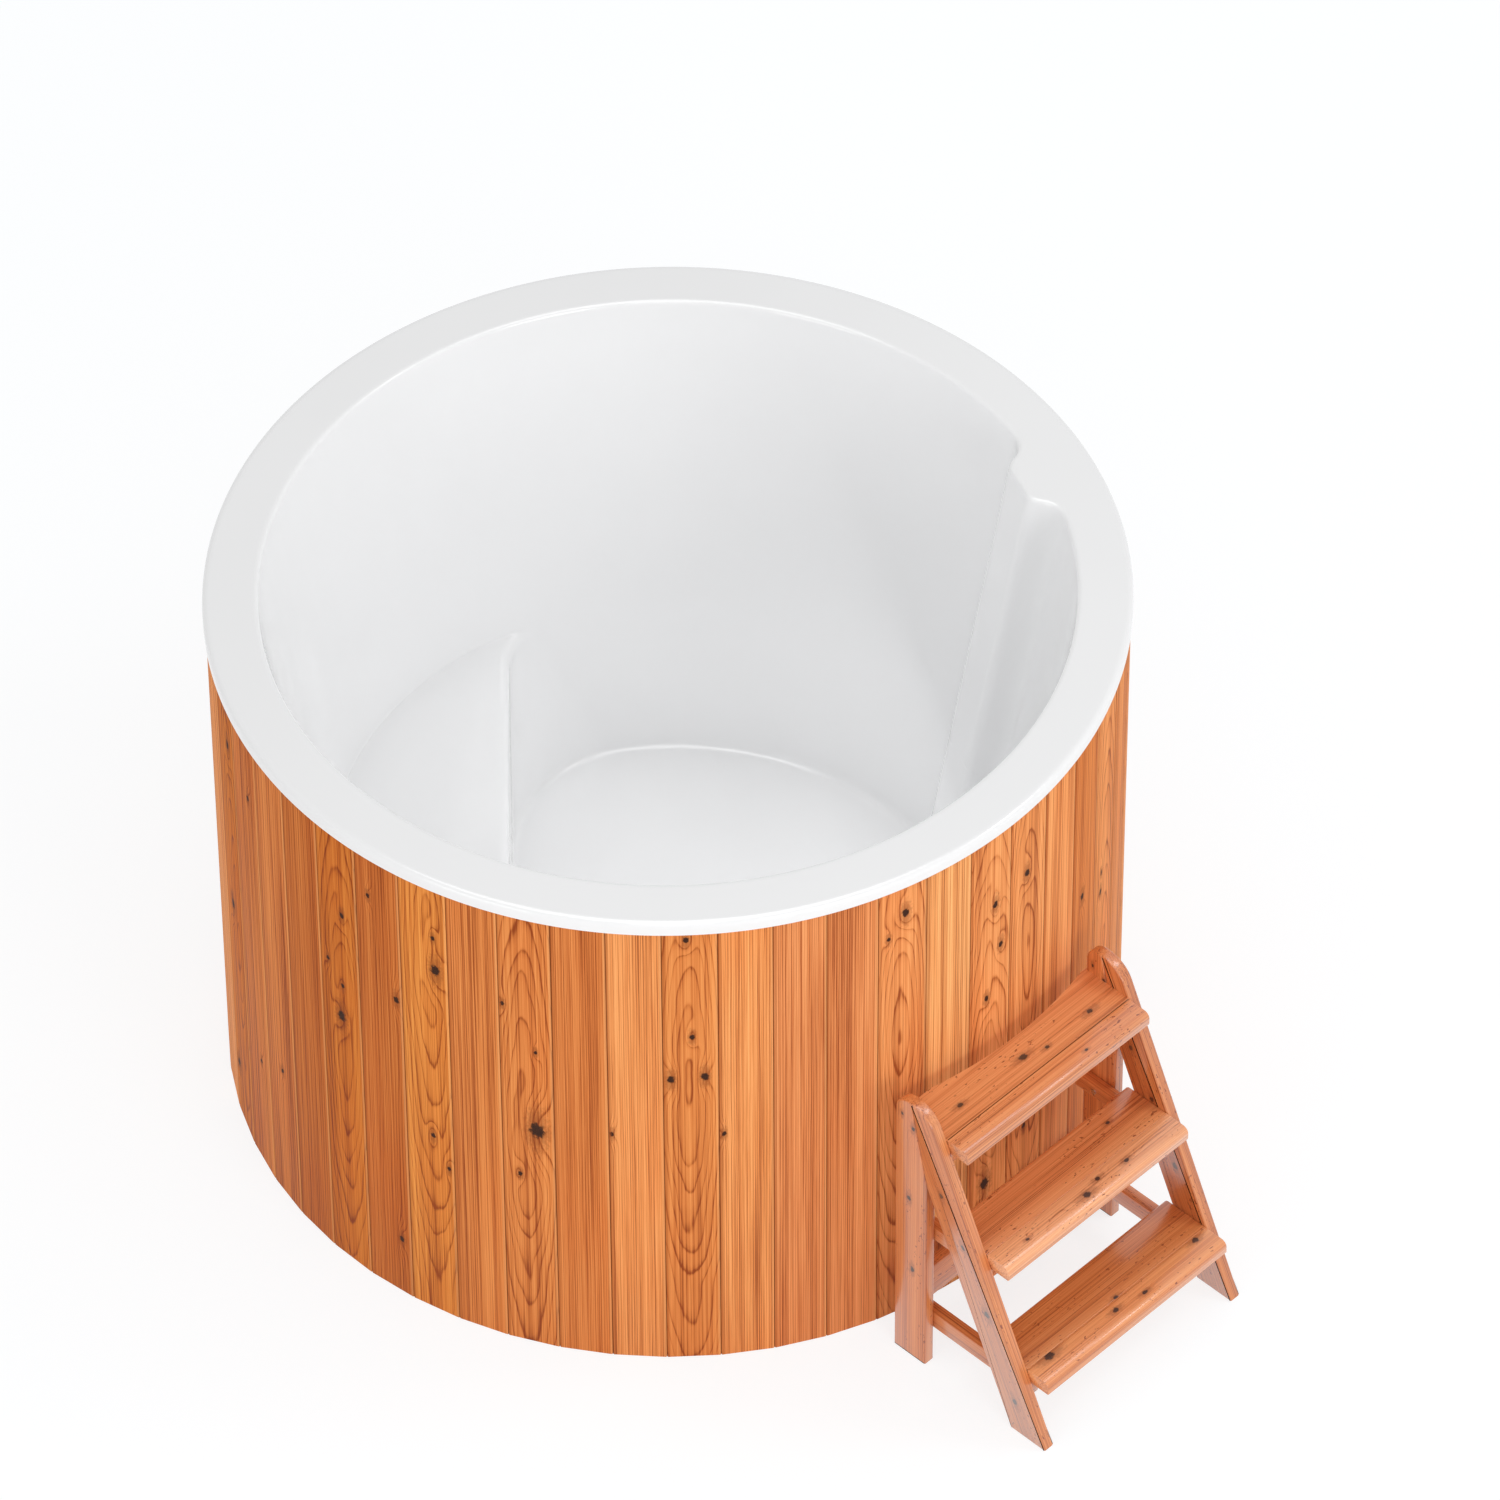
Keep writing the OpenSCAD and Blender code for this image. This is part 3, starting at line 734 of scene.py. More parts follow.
    def joints(self, g: Graph, x: Socket, color: Socket) -> Socket:
        """The colour with a board's two edges: a painted highlight on one and painted shade on the
        other, both dark at the joint.

        Args:
            g: The node tree.
            x: Distance across the board.
            color: The board's own colour.

        Returns:
            The colour with its edges.
        """
        edge = self.half_width
        # Painted highlight: a pale strip along the board's right edge, standing in for the key lamp
        # lighting that bevel.
        wear_and_painted_highlight = g.between(x, edge - 0.0054, edge - 0.0040, 0.0, 0.40)
        color = g.blend(wear_and_painted_highlight, color, self.rubbed)
        # Painted shade: a darker strip along the board's left edge, standing in for that bevel turned
        # away from the key lamp.
        shade = g.between(x, -edge + 0.0070, -edge + 0.0030, 0.0, 0.42)
        color = g.blend(shade, color, self.shaded)
        dark = g.between(g.math("ABSOLUTE", x), edge - 0.0012, edge - 0.0004, 0.0, 0.70)
        return g.blend(dark, color, self.joint)

    def build(self) -> bpy.types.Material:
        """Builds the material.

        Returns:
            The material.
        """
        g = Graph(self.name)
        x, y, z = g.split(g.attribute("grain_pos"))
        place = g.vector("ADD", g.attribute("grain_pos"), g.attribute("grain_seed"))
        dx, dy, figure = self.pith(g, place, x, y, z)
        core, halo, circles, push = self.knots(g, x, z, place)
        late = self.rings(g, place, dx, dy, push, g.between(figure, 0.10, 0.42, 1.0, 0.66))
        fibre = g.grain(place, 900.0, 7.0, 3.0, 0.6)
        tone = self.darkness(g, place, late, fibre)
        color = g.blend(g.math("MULTIPLY", tone, 2.2, clamp=True), self.pale, self.mid)
        color = g.blend(g.between(tone, 0.42, 1.0), color, self.deep)
        color = g.blend(1.0, color, g.attribute("grain_tint"), "MULTIPLY")
        patch = g.between(g.grain(place, 9.0, 2.0), 0.45, 0.75, 0.0, 0.5)
        color = g.blend(patch, color, self.blush, "MULTIPLY")
        if self.fleck:
            color = self.flecks(g, place, color)
        color = g.blend(g.mul(halo, 0.45), color, self.halo)
        heart = g.blend(circles, self.knot, tuple(min(1.0, c * 2.4) for c in self.knot))
        color = g.blend(core, color, heart)
        if self.half_width:
            color = self.joints(g, x, color)
        height = g.add(g.mul(late, -0.35), g.mul(fibre, 0.5))
        height = g.sub(height, g.mul(core, 0.6))
        return g.finish(
            Base_Color=color,
            Roughness=g.between(tone, 0.0, 1.0, self.roughness + 0.05, self.roughness - 0.05),
            Specular_IOR_Level=self.level,
            Coat_Weight=self.coat,
            Coat_Roughness=self.coat_roughness,
            Normal=g.bump(height, 0.0004, 0.5),
        )


@dataclass(frozen=True)
class SawnTimber:
    """Unoiled sawn softwood, its grain along one of the model's axes."""

    name: str
    color: Color
    dark: Color
    along: str = "Y"

    def build(self) -> bpy.types.Material:
        """Builds the material.

        Returns:
            The material.
        """
        g = Graph(self.name)
        scales = {"X": (2.0, 60.0, 60.0), "Y": (60.0, 2.0, 60.0), "Z": (60.0, 60.0, 2.0)}
        drawn = scales[self.along]
        where = g.object_coords()
        grain = g.noise(g.stretch(where, *drawn), 1.0, 4.0, 0.6, 0.6)
        saw = g.noise(g.stretch(where, *(scale * 6.0 for scale in drawn)), 1.0)
        color = g.blend(g.between(grain, 0.3, 0.7), self.color, self.dark)
        color = g.blend(g.between(saw, 0.55, 0.8, 0.0, 0.35), color, self.dark)
        return g.finish(Base_Color=color, Roughness=0.72, Normal=g.bump(saw, 0.0008, 0.6))


@dataclass(frozen=True)
class Plywood:
    """Raw plywood: thin plies on the edges, rotary-cut figure on the faces."""

    name: str = "plywood"
    light: Color = (0.60, 0.44, 0.26)
    dark: Color = (0.34, 0.21, 0.11)
    ply: float = 0.0026

    def build(self) -> bpy.types.Material:
        """Builds the material.

        Returns:
            The material.
        """
        g = Graph(self.name)
        where = g.object_coords()
        _, _, z = g.split(where)
        ply = g.math("FRACT", g.math("DIVIDE", z, 2 * self.ply))
        edge = g.between(g.math("ABSOLUTE", g.sub(ply, 0.5)), 0.2, 0.3)
        figure = g.noise(g.stretch(where, 9.0, 1.4, 9.0), 1.0, 4.0, 0.6, 1.6)
        grain = g.noise(g.stretch(where, 160.0, 9.0, 160.0), 1.0, 3.0)
        color = g.blend(g.between(figure, 0.35, 0.65, 0.0, 0.45), self.light, self.dark)
        color = g.blend(g.between(grain, 0.4, 0.8, 0.0, 0.3), color, self.dark)
        color = g.blend(g.mul(edge, 0.35), color, self.dark)
        return g.finish(Base_Color=color, Roughness=0.7, Normal=g.bump(grain, 0.0004, 0.5))


@dataclass(frozen=True)
class RigidFoam:
    """Cut rigid foam, with open cells on its skin."""

    name: str = "rigid_foam"
    color: Color = (0.80, 0.70, 0.45)
    pore: Color = (0.35, 0.28, 0.15)

    def build(self) -> bpy.types.Material:
        """Builds the material.

        Returns:
            The material.
        """
        g = Graph(self.name)
        where = g.object_coords()
        cells = g.node("ShaderNodeTexVoronoi", Vector=where, Scale=420.0).outputs[0]
        blot = g.between(g.noise(where, 14.0, 3.0), 0.3, 0.7)
        color = g.blend(blot, self.color, tuple(c * 0.82 for c in self.color))
        color = g.blend(g.between(cells, 0.2, 0.7, 0.25, 0.0), color, self.pore)
        return g.finish(Base_Color=color, Roughness=0.9, Normal=g.bump(cells, 0.0008, 0.7))


@dataclass(frozen=True)
class BrushedMetal:
    """Metal with fine brush marks round or along one axis."""

    name: str
    color: Color
    roughness: float = 0.3
    marks: Point = (40.0, 900.0, 900.0)

    def build(self) -> bpy.types.Material:
        """Builds the material.

        Returns:
            The material.
        """
        g = Graph(self.name)
        where = g.object_coords()
        lines = g.noise(g.stretch(where, *self.marks), 1.0, 3.0)
        smear = g.noise(where, 35.0, 3.0)
        rough = g.between(smear, 0.3, 0.7, self.roughness * 0.8, self.roughness * 1.35)
        dark = tuple(c * 0.8 for c in self.color)
        color = g.blend(g.between(lines, 0.35, 0.65), self.color, dark)
        bent = g.bump(lines, 0.0002, 0.5)
        return g.finish(Base_Color=color, Metallic=1.0, Roughness=rough, Normal=bent)


@dataclass(frozen=True)
class MouldedPlastic:
    """Moulded plastic or rubber with a fine texture and slight handling wear."""

    name: str
    color: Color
    roughness: float = 0.45
    grain: float = 1.0

    def build(self) -> bpy.types.Material:
        """Builds the material.

        Returns:
            The material.
        """
        g = Graph(self.name)
        where = g.object_coords()
        fine = g.noise(where, 900.0, 2.0)
        # In this plastic the mask is handling wear alone.
        wear_and_painted_highlight = g.noise(where, 28.0, 4.0, 0.6)
        light = tuple(min(1.0, c * 1.18 + 0.01) for c in self.color)
        color = g.blend(g.between(wear_and_painted_highlight, 0.45, 0.75), self.color, light)
        rough = g.between(wear_and_painted_highlight, 0.3, 0.7, self.roughness * 0.85, self.roughness * 1.2)
        bent = g.bump(fine, 0.0003 * self.grain, 0.5)
        return g.finish(Base_Color=color, Roughness=rough, Normal=bent)


# Timber pieces


class Cut(Enum):
    """How a board lies in its log: pith across and in depth, lean, arch slope, figure."""

    STRAIGHT = (0.34, -0.10, 0.010, 0.0, 0.10)
    RIFT = (0.12, -0.11, 0.020, 0.0, 0.25)
    PLAIN = (0.010, -0.040, 0.0, 0.060, 0.30)
    FIGURED = (-0.004, -0.024, 0.0, 0.080, 0.42)


class Tone(Enum):
    """A board's tint over its wood's colours."""

    BLOND = (1.20, 1.60, 2.00)
    PALE = (1.15, 1.30, 1.42)
    LIGHT = (1.10, 1.20, 1.34)
    GOLDEN = (1.05, 1.07, 0.75)
    AMBER = (0.86, 0.74, 0.42)
    TAN = (0.99, 0.97, 0.88)
    ROSE = (1.00, 1.02, 1.18)
    WARM = (0.94, 0.88, 0.80)
    BROWN = (0.80, 0.67, 0.50)
    DARK = (0.66, 0.53, 0.37)


@dataclass(frozen=True)
class Knot:
    """A knot: place across and along its board, and radius, in millimetres."""

    across: float
    along: float
    radius: float


NO_KNOT = Knot(9000.0, 9000.0, 0.0)


def knots(*sizes: tuple[float, float, float]) -> tuple[Knot, ...]:
    """Knots from their places across and along and their radii."""
    return tuple(Knot(*size) for size in sizes)


@dataclass(frozen=True)
class Figure:
    """The look of one board: tone, cut, knots and, in millimetres, the middle of its arches."""

    tone: Tone
    cut: Cut
    knots: tuple[Knot, ...] = ()
    middle: float = 500.0

    def lay(
        self, vectors: dict[str, list], grain: Array, seed: Array, flip: float = 1.0
    ) -> None:
        """Adds this board's attribute arrays to the lists.

        Args:
            vectors: Lists of arrays, one list for each attribute.
            grain: (n, 3) points in the board's own terms: across, depth, along.
            seed: Three numbers that shift the noise.
            flip: 1 or -1, which side of the board the pith lies on.
        """
        across, depth, lean, slope, figure = self.cut.value
        constants = {
            "grain_seed": tuple(seed),
            "grain_cut": (across * flip, depth, lean * flip),
            "grain_bow": (self.middle / 1000.0, slope, figure),
            "grain_tint": self.tone.value,
        }
        for number in range(KNOTS):
            knot = self.knots[number] if number < len(self.knots) else NO_KNOT
            sizes = (knot.across, knot.along, knot.radius)
            constants[f"knot_{number + 1}"] = tuple(size / 1000.0 for size in sizes)
        vectors["grain_pos"].append(grain)
        for name, value in constants.items():
            vectors[name].append(np.tile(value, (len(grain), 1)))


GRAIN_NAMES = (
    "grain_pos", "grain_seed", "grain_cut", "grain_bow", "grain_tint",
    *(f"knot_{number}" for number in range(1, KNOTS + 1)),
)


def empty_vectors() -> dict[str, list]:
    """A list for each attribute that the wood reads."""
    return {name: [] for name in GRAIN_NAMES}


def store_vectors(obj: bpy.types.Object, vectors: dict[str, list]) -> None:
    """Stores the gathered attribute arrays on a mesh."""
    for name, arrays in vectors.items():
        set_vectors(obj, name, np.concatenate(arrays))


@dataclass
class Cladding:
    """Upright tongue-and-groove boards in a ring, each a flat face of a polygon."""

    count: int = 53
    radius: float = 0.800
    thickness: float = 0.027
    height: float = 1.0987
    turn: float = 0.42
    edge_round: float = 0.0024
    tongue: float = 0.008
    tongue_thick: float = 0.007
    joint_gap: float = 0.0001
    groove_play: float = 0.0003
    groove_deeper: float = 0.0005
    end_round: float = 0.0008
    seed: int = 53
    tone_shares: tuple[float, ...] = (0.07, 0.13, 0.17, 0.08, 0.05, 0.18, 0.12, 0.12, 0.07, 0.01)
    cut_shares: tuple[float, ...] = (0.42, 0.2, 0.2, 0.18)
    knot_spans: tuple[tuple[float, float], ...] = ((-34.0, 34.0), (60.0, 1040.0), (3.0, 9.0))
    figures: dict[int, Figure] = field(default_factory=dict)

    @property
    def step(self) -> float:
        """Angle of one board, in radians."""
        return 2 * math.pi / self.count

    @property
    def face(self) -> float:
        """Distance of a board's face from the axis."""
        return self.radius * math.cos(self.step / 2)

    def outline(self) -> Array:
        """One board in plan as depth from the axis and distance across, counter-clockwise.

        The sides lie on the radial planes between the boards. The tongue stands out of one
        side, and the groove is cut into the other.

        Returns:
            (n, 2) points.
        """
        half = self.step / 2
        out, back = self.face, self.face - self.thickness
        mid = (out + back) / 2 / math.cos(half)
        along = np.array([math.cos(half), math.sin(half)])
        beside = np.array([-math.sin(half), math.cos(half)])
        mirror = np.array([1.0, -1.0])
        t = self.tongue_thick / 2
        low, high = along * mid - along * t, along * mid + along * t
        reach = beside * self.tongue
        tongue = [high, high + reach, low + reach, low]
        low = along * (mid - t - self.groove_play) * mirror
        high = along * (mid + t + self.groove_play) * mirror
        reach = beside * (self.tongue + self.groove_deeper)
        groove = [low, low + reach, high + reach, high]
        outer = out * math.tan(half) - self.joint_gap
        inner = back * math.tan(half) - self.joint_gap
        faces = [(out, -outer), (out, outer), *tongue, (back, inner), (back, -inner), *groove]
        radii = [self.edge_round] * 2 + [0.0] * (len(faces) - 2)
        return rounded_outline(faces, radii, 3)

    def figure_of(self, index: int, rng: np.random.Generator) -> Figure:
        """The set look of a board, or a drawn one, which is drawn either way.

        Args:
            index: Number of the board.
            rng: Where the draws come from.

        Returns:
            Its look.
        """
        tone = rng.choice(np.array([t.name for t in Tone]), p=self.tone_shares)
        cut = rng.choice(np.array([c.name for c in Cut]), p=self.cut_shares)
        most = 4 if cut in ("PLAIN", "FIGURED") else 2
        drawn_knots = tuple(
            Knot(*(float(rng.uniform(*span)) for span in self.knot_spans))
            for _ in range(int(rng.integers(0, most)))
        )
        return self.figures.get(index, Figure(Tone[str(tone)], Cut[str(cut)], drawn_knots))

    def build(self, finish: FigureWood) -> bpy.types.Object:
        """Builds all boards as one mesh: the same prism turned to each board's direction.

        Args:
            finish: The wood of the boards.

        Returns:
            The piece that stands for the boards.
        """
        rng = np.random.default_rng(self.seed)
        flat, faces = prism(self.outline(), 0.0, self.height, self.end_round, 2)
        depth, across, along = flat.T
        grain = np.column_stack([across, depth - self.face, along])
        points, all_faces, vectors = [], [], empty_vectors()
        for index in range(self.count):
            angle = (index + self.turn) * self.step
            c, s = math.cos(angle), math.sin(angle)
            points.append(np.column_stack([depth * c - across * s, depth * s + across * c, along]))
            all_faces += [tuple(i + index * len(flat) for i in f) for f in faces]
            figure = self.figure_of(index, rng)
            seed = rng.uniform(-40, 40, 3)
            flip = 1.0 if rng.random() < 0.5 else -1.0
            figure.lay(vectors, grain, seed, flip)
        obj = new_piece(
            "board_cladding", np.concatenate(points), all_faces,
            "tub", ["cladding_boards"], 30.0,
        )
        store_vectors(obj, vectors)
        obj.data.materials.append(finish.build())
        return obj


# Liner


def soft_min(a: Array, b: Array, k: float) -> Array:
    """The lesser of two, blended over k: min(a, b) - max(k - |a - b|, 0)^2 / 4k."""
    h = np.maximum(k - np.abs(a - b), 0.0)
    return np.minimum(a, b) - h * h / (4 * k)


def soft_max(a: Array, b: Array, k: float) -> Array:
    """The greater of two, blended over k."""
    return -soft_min(-a, -b, k)


@dataclass
class Liner:
    """The moulded liner: rim, leaning wall, rib, seat and floor as one smooth skin."""

    mouth_r: float = 0.70805
    rim_z: float = 1.107
    wall_angle: float = math.radians(9.66)
    floor_z: float = 0.147
    seat_z: float = 0.460
    seat_edge: float = 0.287
    seat_flare: float = 0.270
    seat_lean: float = math.radians(14.5)
    seat_straight: float = 0.280
    seat_az: float = math.radians(135.0)
    rib_az: float = math.radians(-23.4)
    rib_face: float = 0.098
    rib_root: float = 0.160
    rib_depth: float = 0.048
    lip_r: float = 0.8033
    lip_h: float = 0.025
    rim_soft: float = 0.0115
    mouth_soft: float = 0.0075
    corner_soft: float = 0.011
    seat_corner_soft: float = 0.003
    seat_soft: float = 0.020
    front_soft: float = 0.030
    front_blend: float = 0.15
    seat_end: float = 1.25
    rib_soft: float = 0.014
    rib_root_soft: float = 0.034
    drain: tuple[float, float] = (0.0, -0.250)
    drain_r: float = 0.02925
    lip_t: float = 0.003
    wall_t: float = 0.008
    columns: int = 480
    lip_rows: int = 22
    lip_middle: float = 0.019
    rim_band: float = 0.045
    rim_bend: float = 0.014
    seat_band: float = 0.035
    floor_band: float = 0.026
    floor_run: float = 0.030

    def wall_r(self, z: Array) -> Array:
        """Radius of the plain wall at a height."""
        return self.mouth_r - (self.rim_z - z) * math.tan(self.wall_angle)

    def rib(self, x: Array, y: Array, z: Array) -> Array:
        """Distance out of the rib: the soft maximum of those from its face and its flanks.

        Args:
            x: First coordinates.
            y: Second coordinates.
            z: Heights.

        Returns:
            One distance for each point.
        """
        c, s = math.cos(self.rib_az), math.sin(self.rib_az)
        depth = (self.wall_r(z) - (x * c + y * s)) * math.cos(self.wall_angle)
        aside = np.abs(y * c - x * s)
        spread = (self.rib_root - self.rib_face) / 2 / self.rib_depth
        flank = (aside - (self.rib_root / 2 - spread * depth)) / math.hypot(1.0, spread)
        front = np.where(x * c + y * s > 0, depth - self.rib_depth, 1.0)
        return soft_max(front, flank, self.rib_soft)

    def seat(self, x: Array, y: Array, z: Array) -> Array:
        """Distance out of the seat: the soft maximum of those from its top and its front.

        The front is the soft minimum of a plane and of a leaning cone at each end.

        Args:
            x: First coordinates.
            y: Second coordinates.
            z: Heights.

        Returns:
            One distance for each point.
        """
        c, s = math.cos(self.seat_az), math.sin(self.seat_az)
        ahead = x * c + y * s
        over = np.maximum(np.abs(y * c - x * s) - self.seat_straight, 0.0)
        reach = self.seat_flare + (z - self.floor_z) * math.tan(self.seat_lean)
        away = np.hypot(np.maximum(ahead - (self.seat_edge - self.seat_flare), 0.0), over)
        cone = (reach - away) * math.cos(self.seat_lean)
        soft = self.front_soft * np.minimum(over / self.front_blend, 1.0) + 1e-6
        front = soft_min(self.seat_edge - ahead, cone, soft)
        return soft_max(z - self.seat_z, front, self.seat_soft)

    def cavity(self, p: Array) -> Array:
        """Distance into the water's space from its nearest moulded face, negative in the solid.

        It is the soft minimum of the distances to the leaning wall, the rib, the seat and the
        floor.

        Args:
            p: (..., 3) points.

        Returns:
            One distance for each point.
        """
        x, y, z = p[..., 0], p[..., 1], p[..., 2]
        wall = (self.wall_r(z) - np.hypot(x, y)) * math.cos(self.wall_angle)
        space = soft_min(wall, self.rib(x, y, z), self.rib_root_soft)
        space = soft_min(space, self.seat(x, y, z), self.seat_corner_soft)
        return soft_min(space, z - self.floor_z, self.corner_soft)

    def skin(self, p: Array) -> Array:
        """Distance out of the solid: above the rim, outside the lip or into the water's space.

        Args:
            p: (..., 3) points.

        Returns:
            One distance for each point.
        """
        outside = np.hypot(p[..., 0], p[..., 1]) - self.lip_r
        inner = soft_max(p[..., 2] - self.rim_z, self.cavity(p), self.mouth_soft)
        outer = soft_max(p[..., 2] - self.rim_z, outside, self.rim_soft)
        return np.where(outside > -self.rim_band, outer, inner)

    def slope(self, p: Array) -> Array:
        """Gradient of the skin's distance, by central differences of 0.1 mm.

        Args:
            p: (..., 3) points.

        Returns:
            (..., 3) gradients.
        """
        h = 1e-4
        steps = np.eye(3) * h
        return np.stack([(self.skin(p + e) - self.skin(p - e)) / (2 * h) for e in steps], -1)

    def settle(self, p: Array, rounds: int = 8) -> Array:
        """Moves points onto the skin along its gradient, by Newton's rule.

        Args:
            p: (..., 3) points near the skin.
            rounds: Number of steps.

        Returns:
            The moved points.
        """
        for _ in range(rounds):
            n = self.slope(p)
            p = p - n * (self.skin(p) / np.maximum((n * n).sum(-1), 0.2))[..., None]
        return p

    def radius_at(self, angle: Array, z: Array) -> Array:
        """Radius of the water's space in a direction at a height, by halving.

        Args:
            angle: Directions from the axis.
            z: Heights that go with them.

        Returns:
            One radius for each.
        """
        least, most, halvings = 0.10, 0.80, 30
        low = np.full(np.broadcast(angle, z).shape, least)
        high = np.full_like(low, most)
        for _ in range(halvings):
            mid = (low + high) / 2
            height = np.broadcast_to(z, mid.shape)
            p = np.stack([mid * np.cos(angle), mid * np.sin(angle), height], -1)
            inside = self.cavity(p) > 0
            low, high = np.where(inside, mid, low), np.where(inside, high, mid)
        return (low + high) / 2

    def directions(self) -> Array:
        """Column angles, closer together at the rib and where the seat meets the wall.

        The density is 1 plus gain * exp(-(angle from the place / width)^4) for each place, and
        each column takes an equal share of its sum round the circle.

        Returns:
            One angle for each column.
        """
        count = 7200
        fine = np.linspace(-math.pi, math.pi, count, endpoint=False)
        density = np.ones_like(fine)
        seat_ends = (self.seat_az - self.seat_end, self.seat_az + self.seat_end)
        places = [(self.rib_az, 0.16, 3.0)] + [(end, 0.26, 2.6) for end in seat_ends]
        for centre, width, gain in places:
            away = np.angle(np.exp(1j * (fine - centre)))
            density += gain * np.exp(-((away / width) ** 4))
        total = np.concatenate([[0.0], np.cumsum(density)])
        marks = np.linspace(0, total[-1], self.columns, endpoint=False)
        return np.interp(marks, total, np.linspace(-math.pi, math.pi, count + 1))

    def bend(self, angle: Array, z: Array) -> Array:
        """Column angles at a height, so that columns run along the rib and not across its edges.

        angle' = angle + w * a * (mouth radius / wall radius - 1), where a is the angle from the
        rib's middle and w falls smoothly from 1 to 0 between 0.17 and 0.60.

        Args:
            angle: Column angles at the mouth.
            z: One height, or heights that go with the angles.

        Returns:
            The angles at those heights.
        """
        away = np.angle(np.exp(1j * (angle - self.rib_az)))
        edge, fade = 0.60, 0.43
        t = np.clip((edge - np.abs(away)) / fade, 0.0, 1.0)
        return angle + t * t * (3.0 - 2.0 * t) * away * (self.mouth_r / self.wall_r(z) - 1.0)

    def rim_rows(self, mouth: Array) -> list[tuple[object, object]]:
        """Rows of radius and height from the lip's foot over the flat rim into the mouth.

        Args:
            mouth: Radius of the mouth along each column.

        Returns:
            (radius, height) of each row.
        """
        top, b = self.rim_z, self.rim_bend
        rows = [(self.lip_r, top - down) for down in (self.lip_h, self.lip_middle, b)]
        for t in shares(8):
            rows.append((self.lip_r - b * max(0.0, 2 * t - 1), top - b * max(0.0, 1 - 2 * t)))
        rows += [(r, top) for r in steps_between(self.lip_r - b, mouth + b, 6)]
        for t in shares(8):
            rows.append((mouth + b * max(0.0, 1 - 2 * t), top - b * max(0.0, 2 * t - 1)))
        return rows

    def seat_rows(self, upper: Array, ridge: Array, foot: Array) -> list[tuple[Array, Array]]:
        """Rows down the wall, in over the seat and down its front, spread by their way's length.

        Where there is no seat the way runs straight down the wall.

        Args:
            upper: Radius above the seat.
            ridge: Radius just above the seat's top.
            foot: Radius below the seat's top.

        Returns:
            (radius, height) of each row.
        """
        band = self.seat_band
        wall = np.maximum(self.wall_r(np.float64(self.seat_z)), ridge)
        front = np.minimum(foot, wall)
        lengths = [np.hypot(upper - wall, band), wall - front, np.full_like(wall, band)]
        ends = np.cumsum(lengths, 0)
        total = ends[-1]
        side = np.minimum(2 * band, 0.4 * total)
        marks = [side * t for t in shares(16)]
        marks += [side + (total - 2 * side) * t for t in shares(16)]
        marks += [total - side + side * t for t in shares(18)]
        rows = []
        for mark in marks:
            t1 = np.clip(mark / np.maximum(ends[0], 1e-9), 0, 1)
            t2 = np.clip((mark - ends[0]) / np.maximum(lengths[1], 1e-9), 0, 1)
            t3 = np.clip((mark - ends[1]) / np.maximum(lengths[2], 1e-9), 0, 1)
            r = upper + (wall - upper) * t1 + (front - wall) * t2 + (foot - front) * t3
            rows.append((r, self.seat_z + band - band * t1 - band * t3))
        return rows

    def start_rows(self, angle: Array) -> tuple[Array, Array]:
        """Rows of radius and height from the lip's foot over the rim to the floor's edge.

        Args:
            angle: Column angles.

        Returns:
            (rows, columns) radii and heights, near the skin.
        """
        flat = np.ones_like(angle)

        def radius(z: float) -> Array:
            """Radius of the water's space along each column at a height."""
            return self.radius_at(self.bend(angle, z), z * flat)

        top, below = self.seat_z + self.seat_band, self.seat_z - self.seat_band
        low = self.floor_z + self.floor_band
        rows = self.rim_rows(radius(self.rim_z))
        rows += [(radius(z), z) for z in steps_between(self.rim_z - self.rim_bend, top, 26)]
        rows += self.seat_rows(rows[-1][0], radius(self.seat_z + 0.0005), radius(below))
        rows += [(radius(z), z) for z in steps_between(below, low, 16)]
        last = rows[-1][0]
        corner = radius(self.floor_z + self.floor_band / 2)
        for t in shares(12):
            down, along = min(1.0, 2 * t), max(0.0, 2 * t - 1)
            r = last + (corner - last) * down - self.floor_run * along
            rows.append((r, low + (self.floor_z - low) * down))
        return np.array([r * flat for r, _ in rows]), np.array([z * flat for _, z in rows])

    def inner_sheet(self, angle: Array) -> Array:
        """The moulded skin from the lip's foot to the drain's hole.

        The floor's rows run from the floor's edge straight to the drain's hole:
        p = (1 - t) * edge + t * (drain + hole radius * direction of the edge from the drain).

        Args:
            angle: Column angles.

        Returns:
            (rows, columns, 3) points.
        """
        r, z = self.start_rows(angle)
        turned = self.bend(angle, z)
        start = np.stack([r * np.cos(turned), r * np.sin(turned), z], -1)
        p = self.settle(start)
        p[0] = start[0]
        edge = p[-1]
        centre = np.array([*self.drain, 0.0])
        toward = (edge - centre) * (1, 1, 0)
        toward /= np.linalg.norm(toward, axis=1, keepdims=True)
        rows = np.array(steps_between(edge, centre + toward * self.drain_r, 14))
        rows[..., 2] = self.floor_z
        return np.concatenate([p, rows])

    def outer_sheet(self, inner: Array, angle: Array) -> Array:
        """Every third row of the inner sheet, moved along its normal by the wall's thickness.

        Args:
            inner: (rows, columns, 3) points of the inner sheet.
            angle: Column angles.

        Returns:
            (rows, columns, 3) points.
        """
        normal = self.slope(inner)
        normal /= np.linalg.norm(normal, axis=-1, keepdims=True)
        picks = np.unique(np.concatenate([np.arange(0, len(inner), 3), [len(inner) - 1]]))
        thick = np.where(picks < self.lip_rows, self.lip_t, self.wall_t)[:, None, None]
        outer = inner[picks] - normal[picks] * thick
        out = np.stack([np.cos(angle), np.sin(angle), 0 * angle], -1)
        outer[0] = inner[0] - out * self.lip_t
        outer[-1] = inner[-1] - (0, 0, self.wall_t)
        return outer

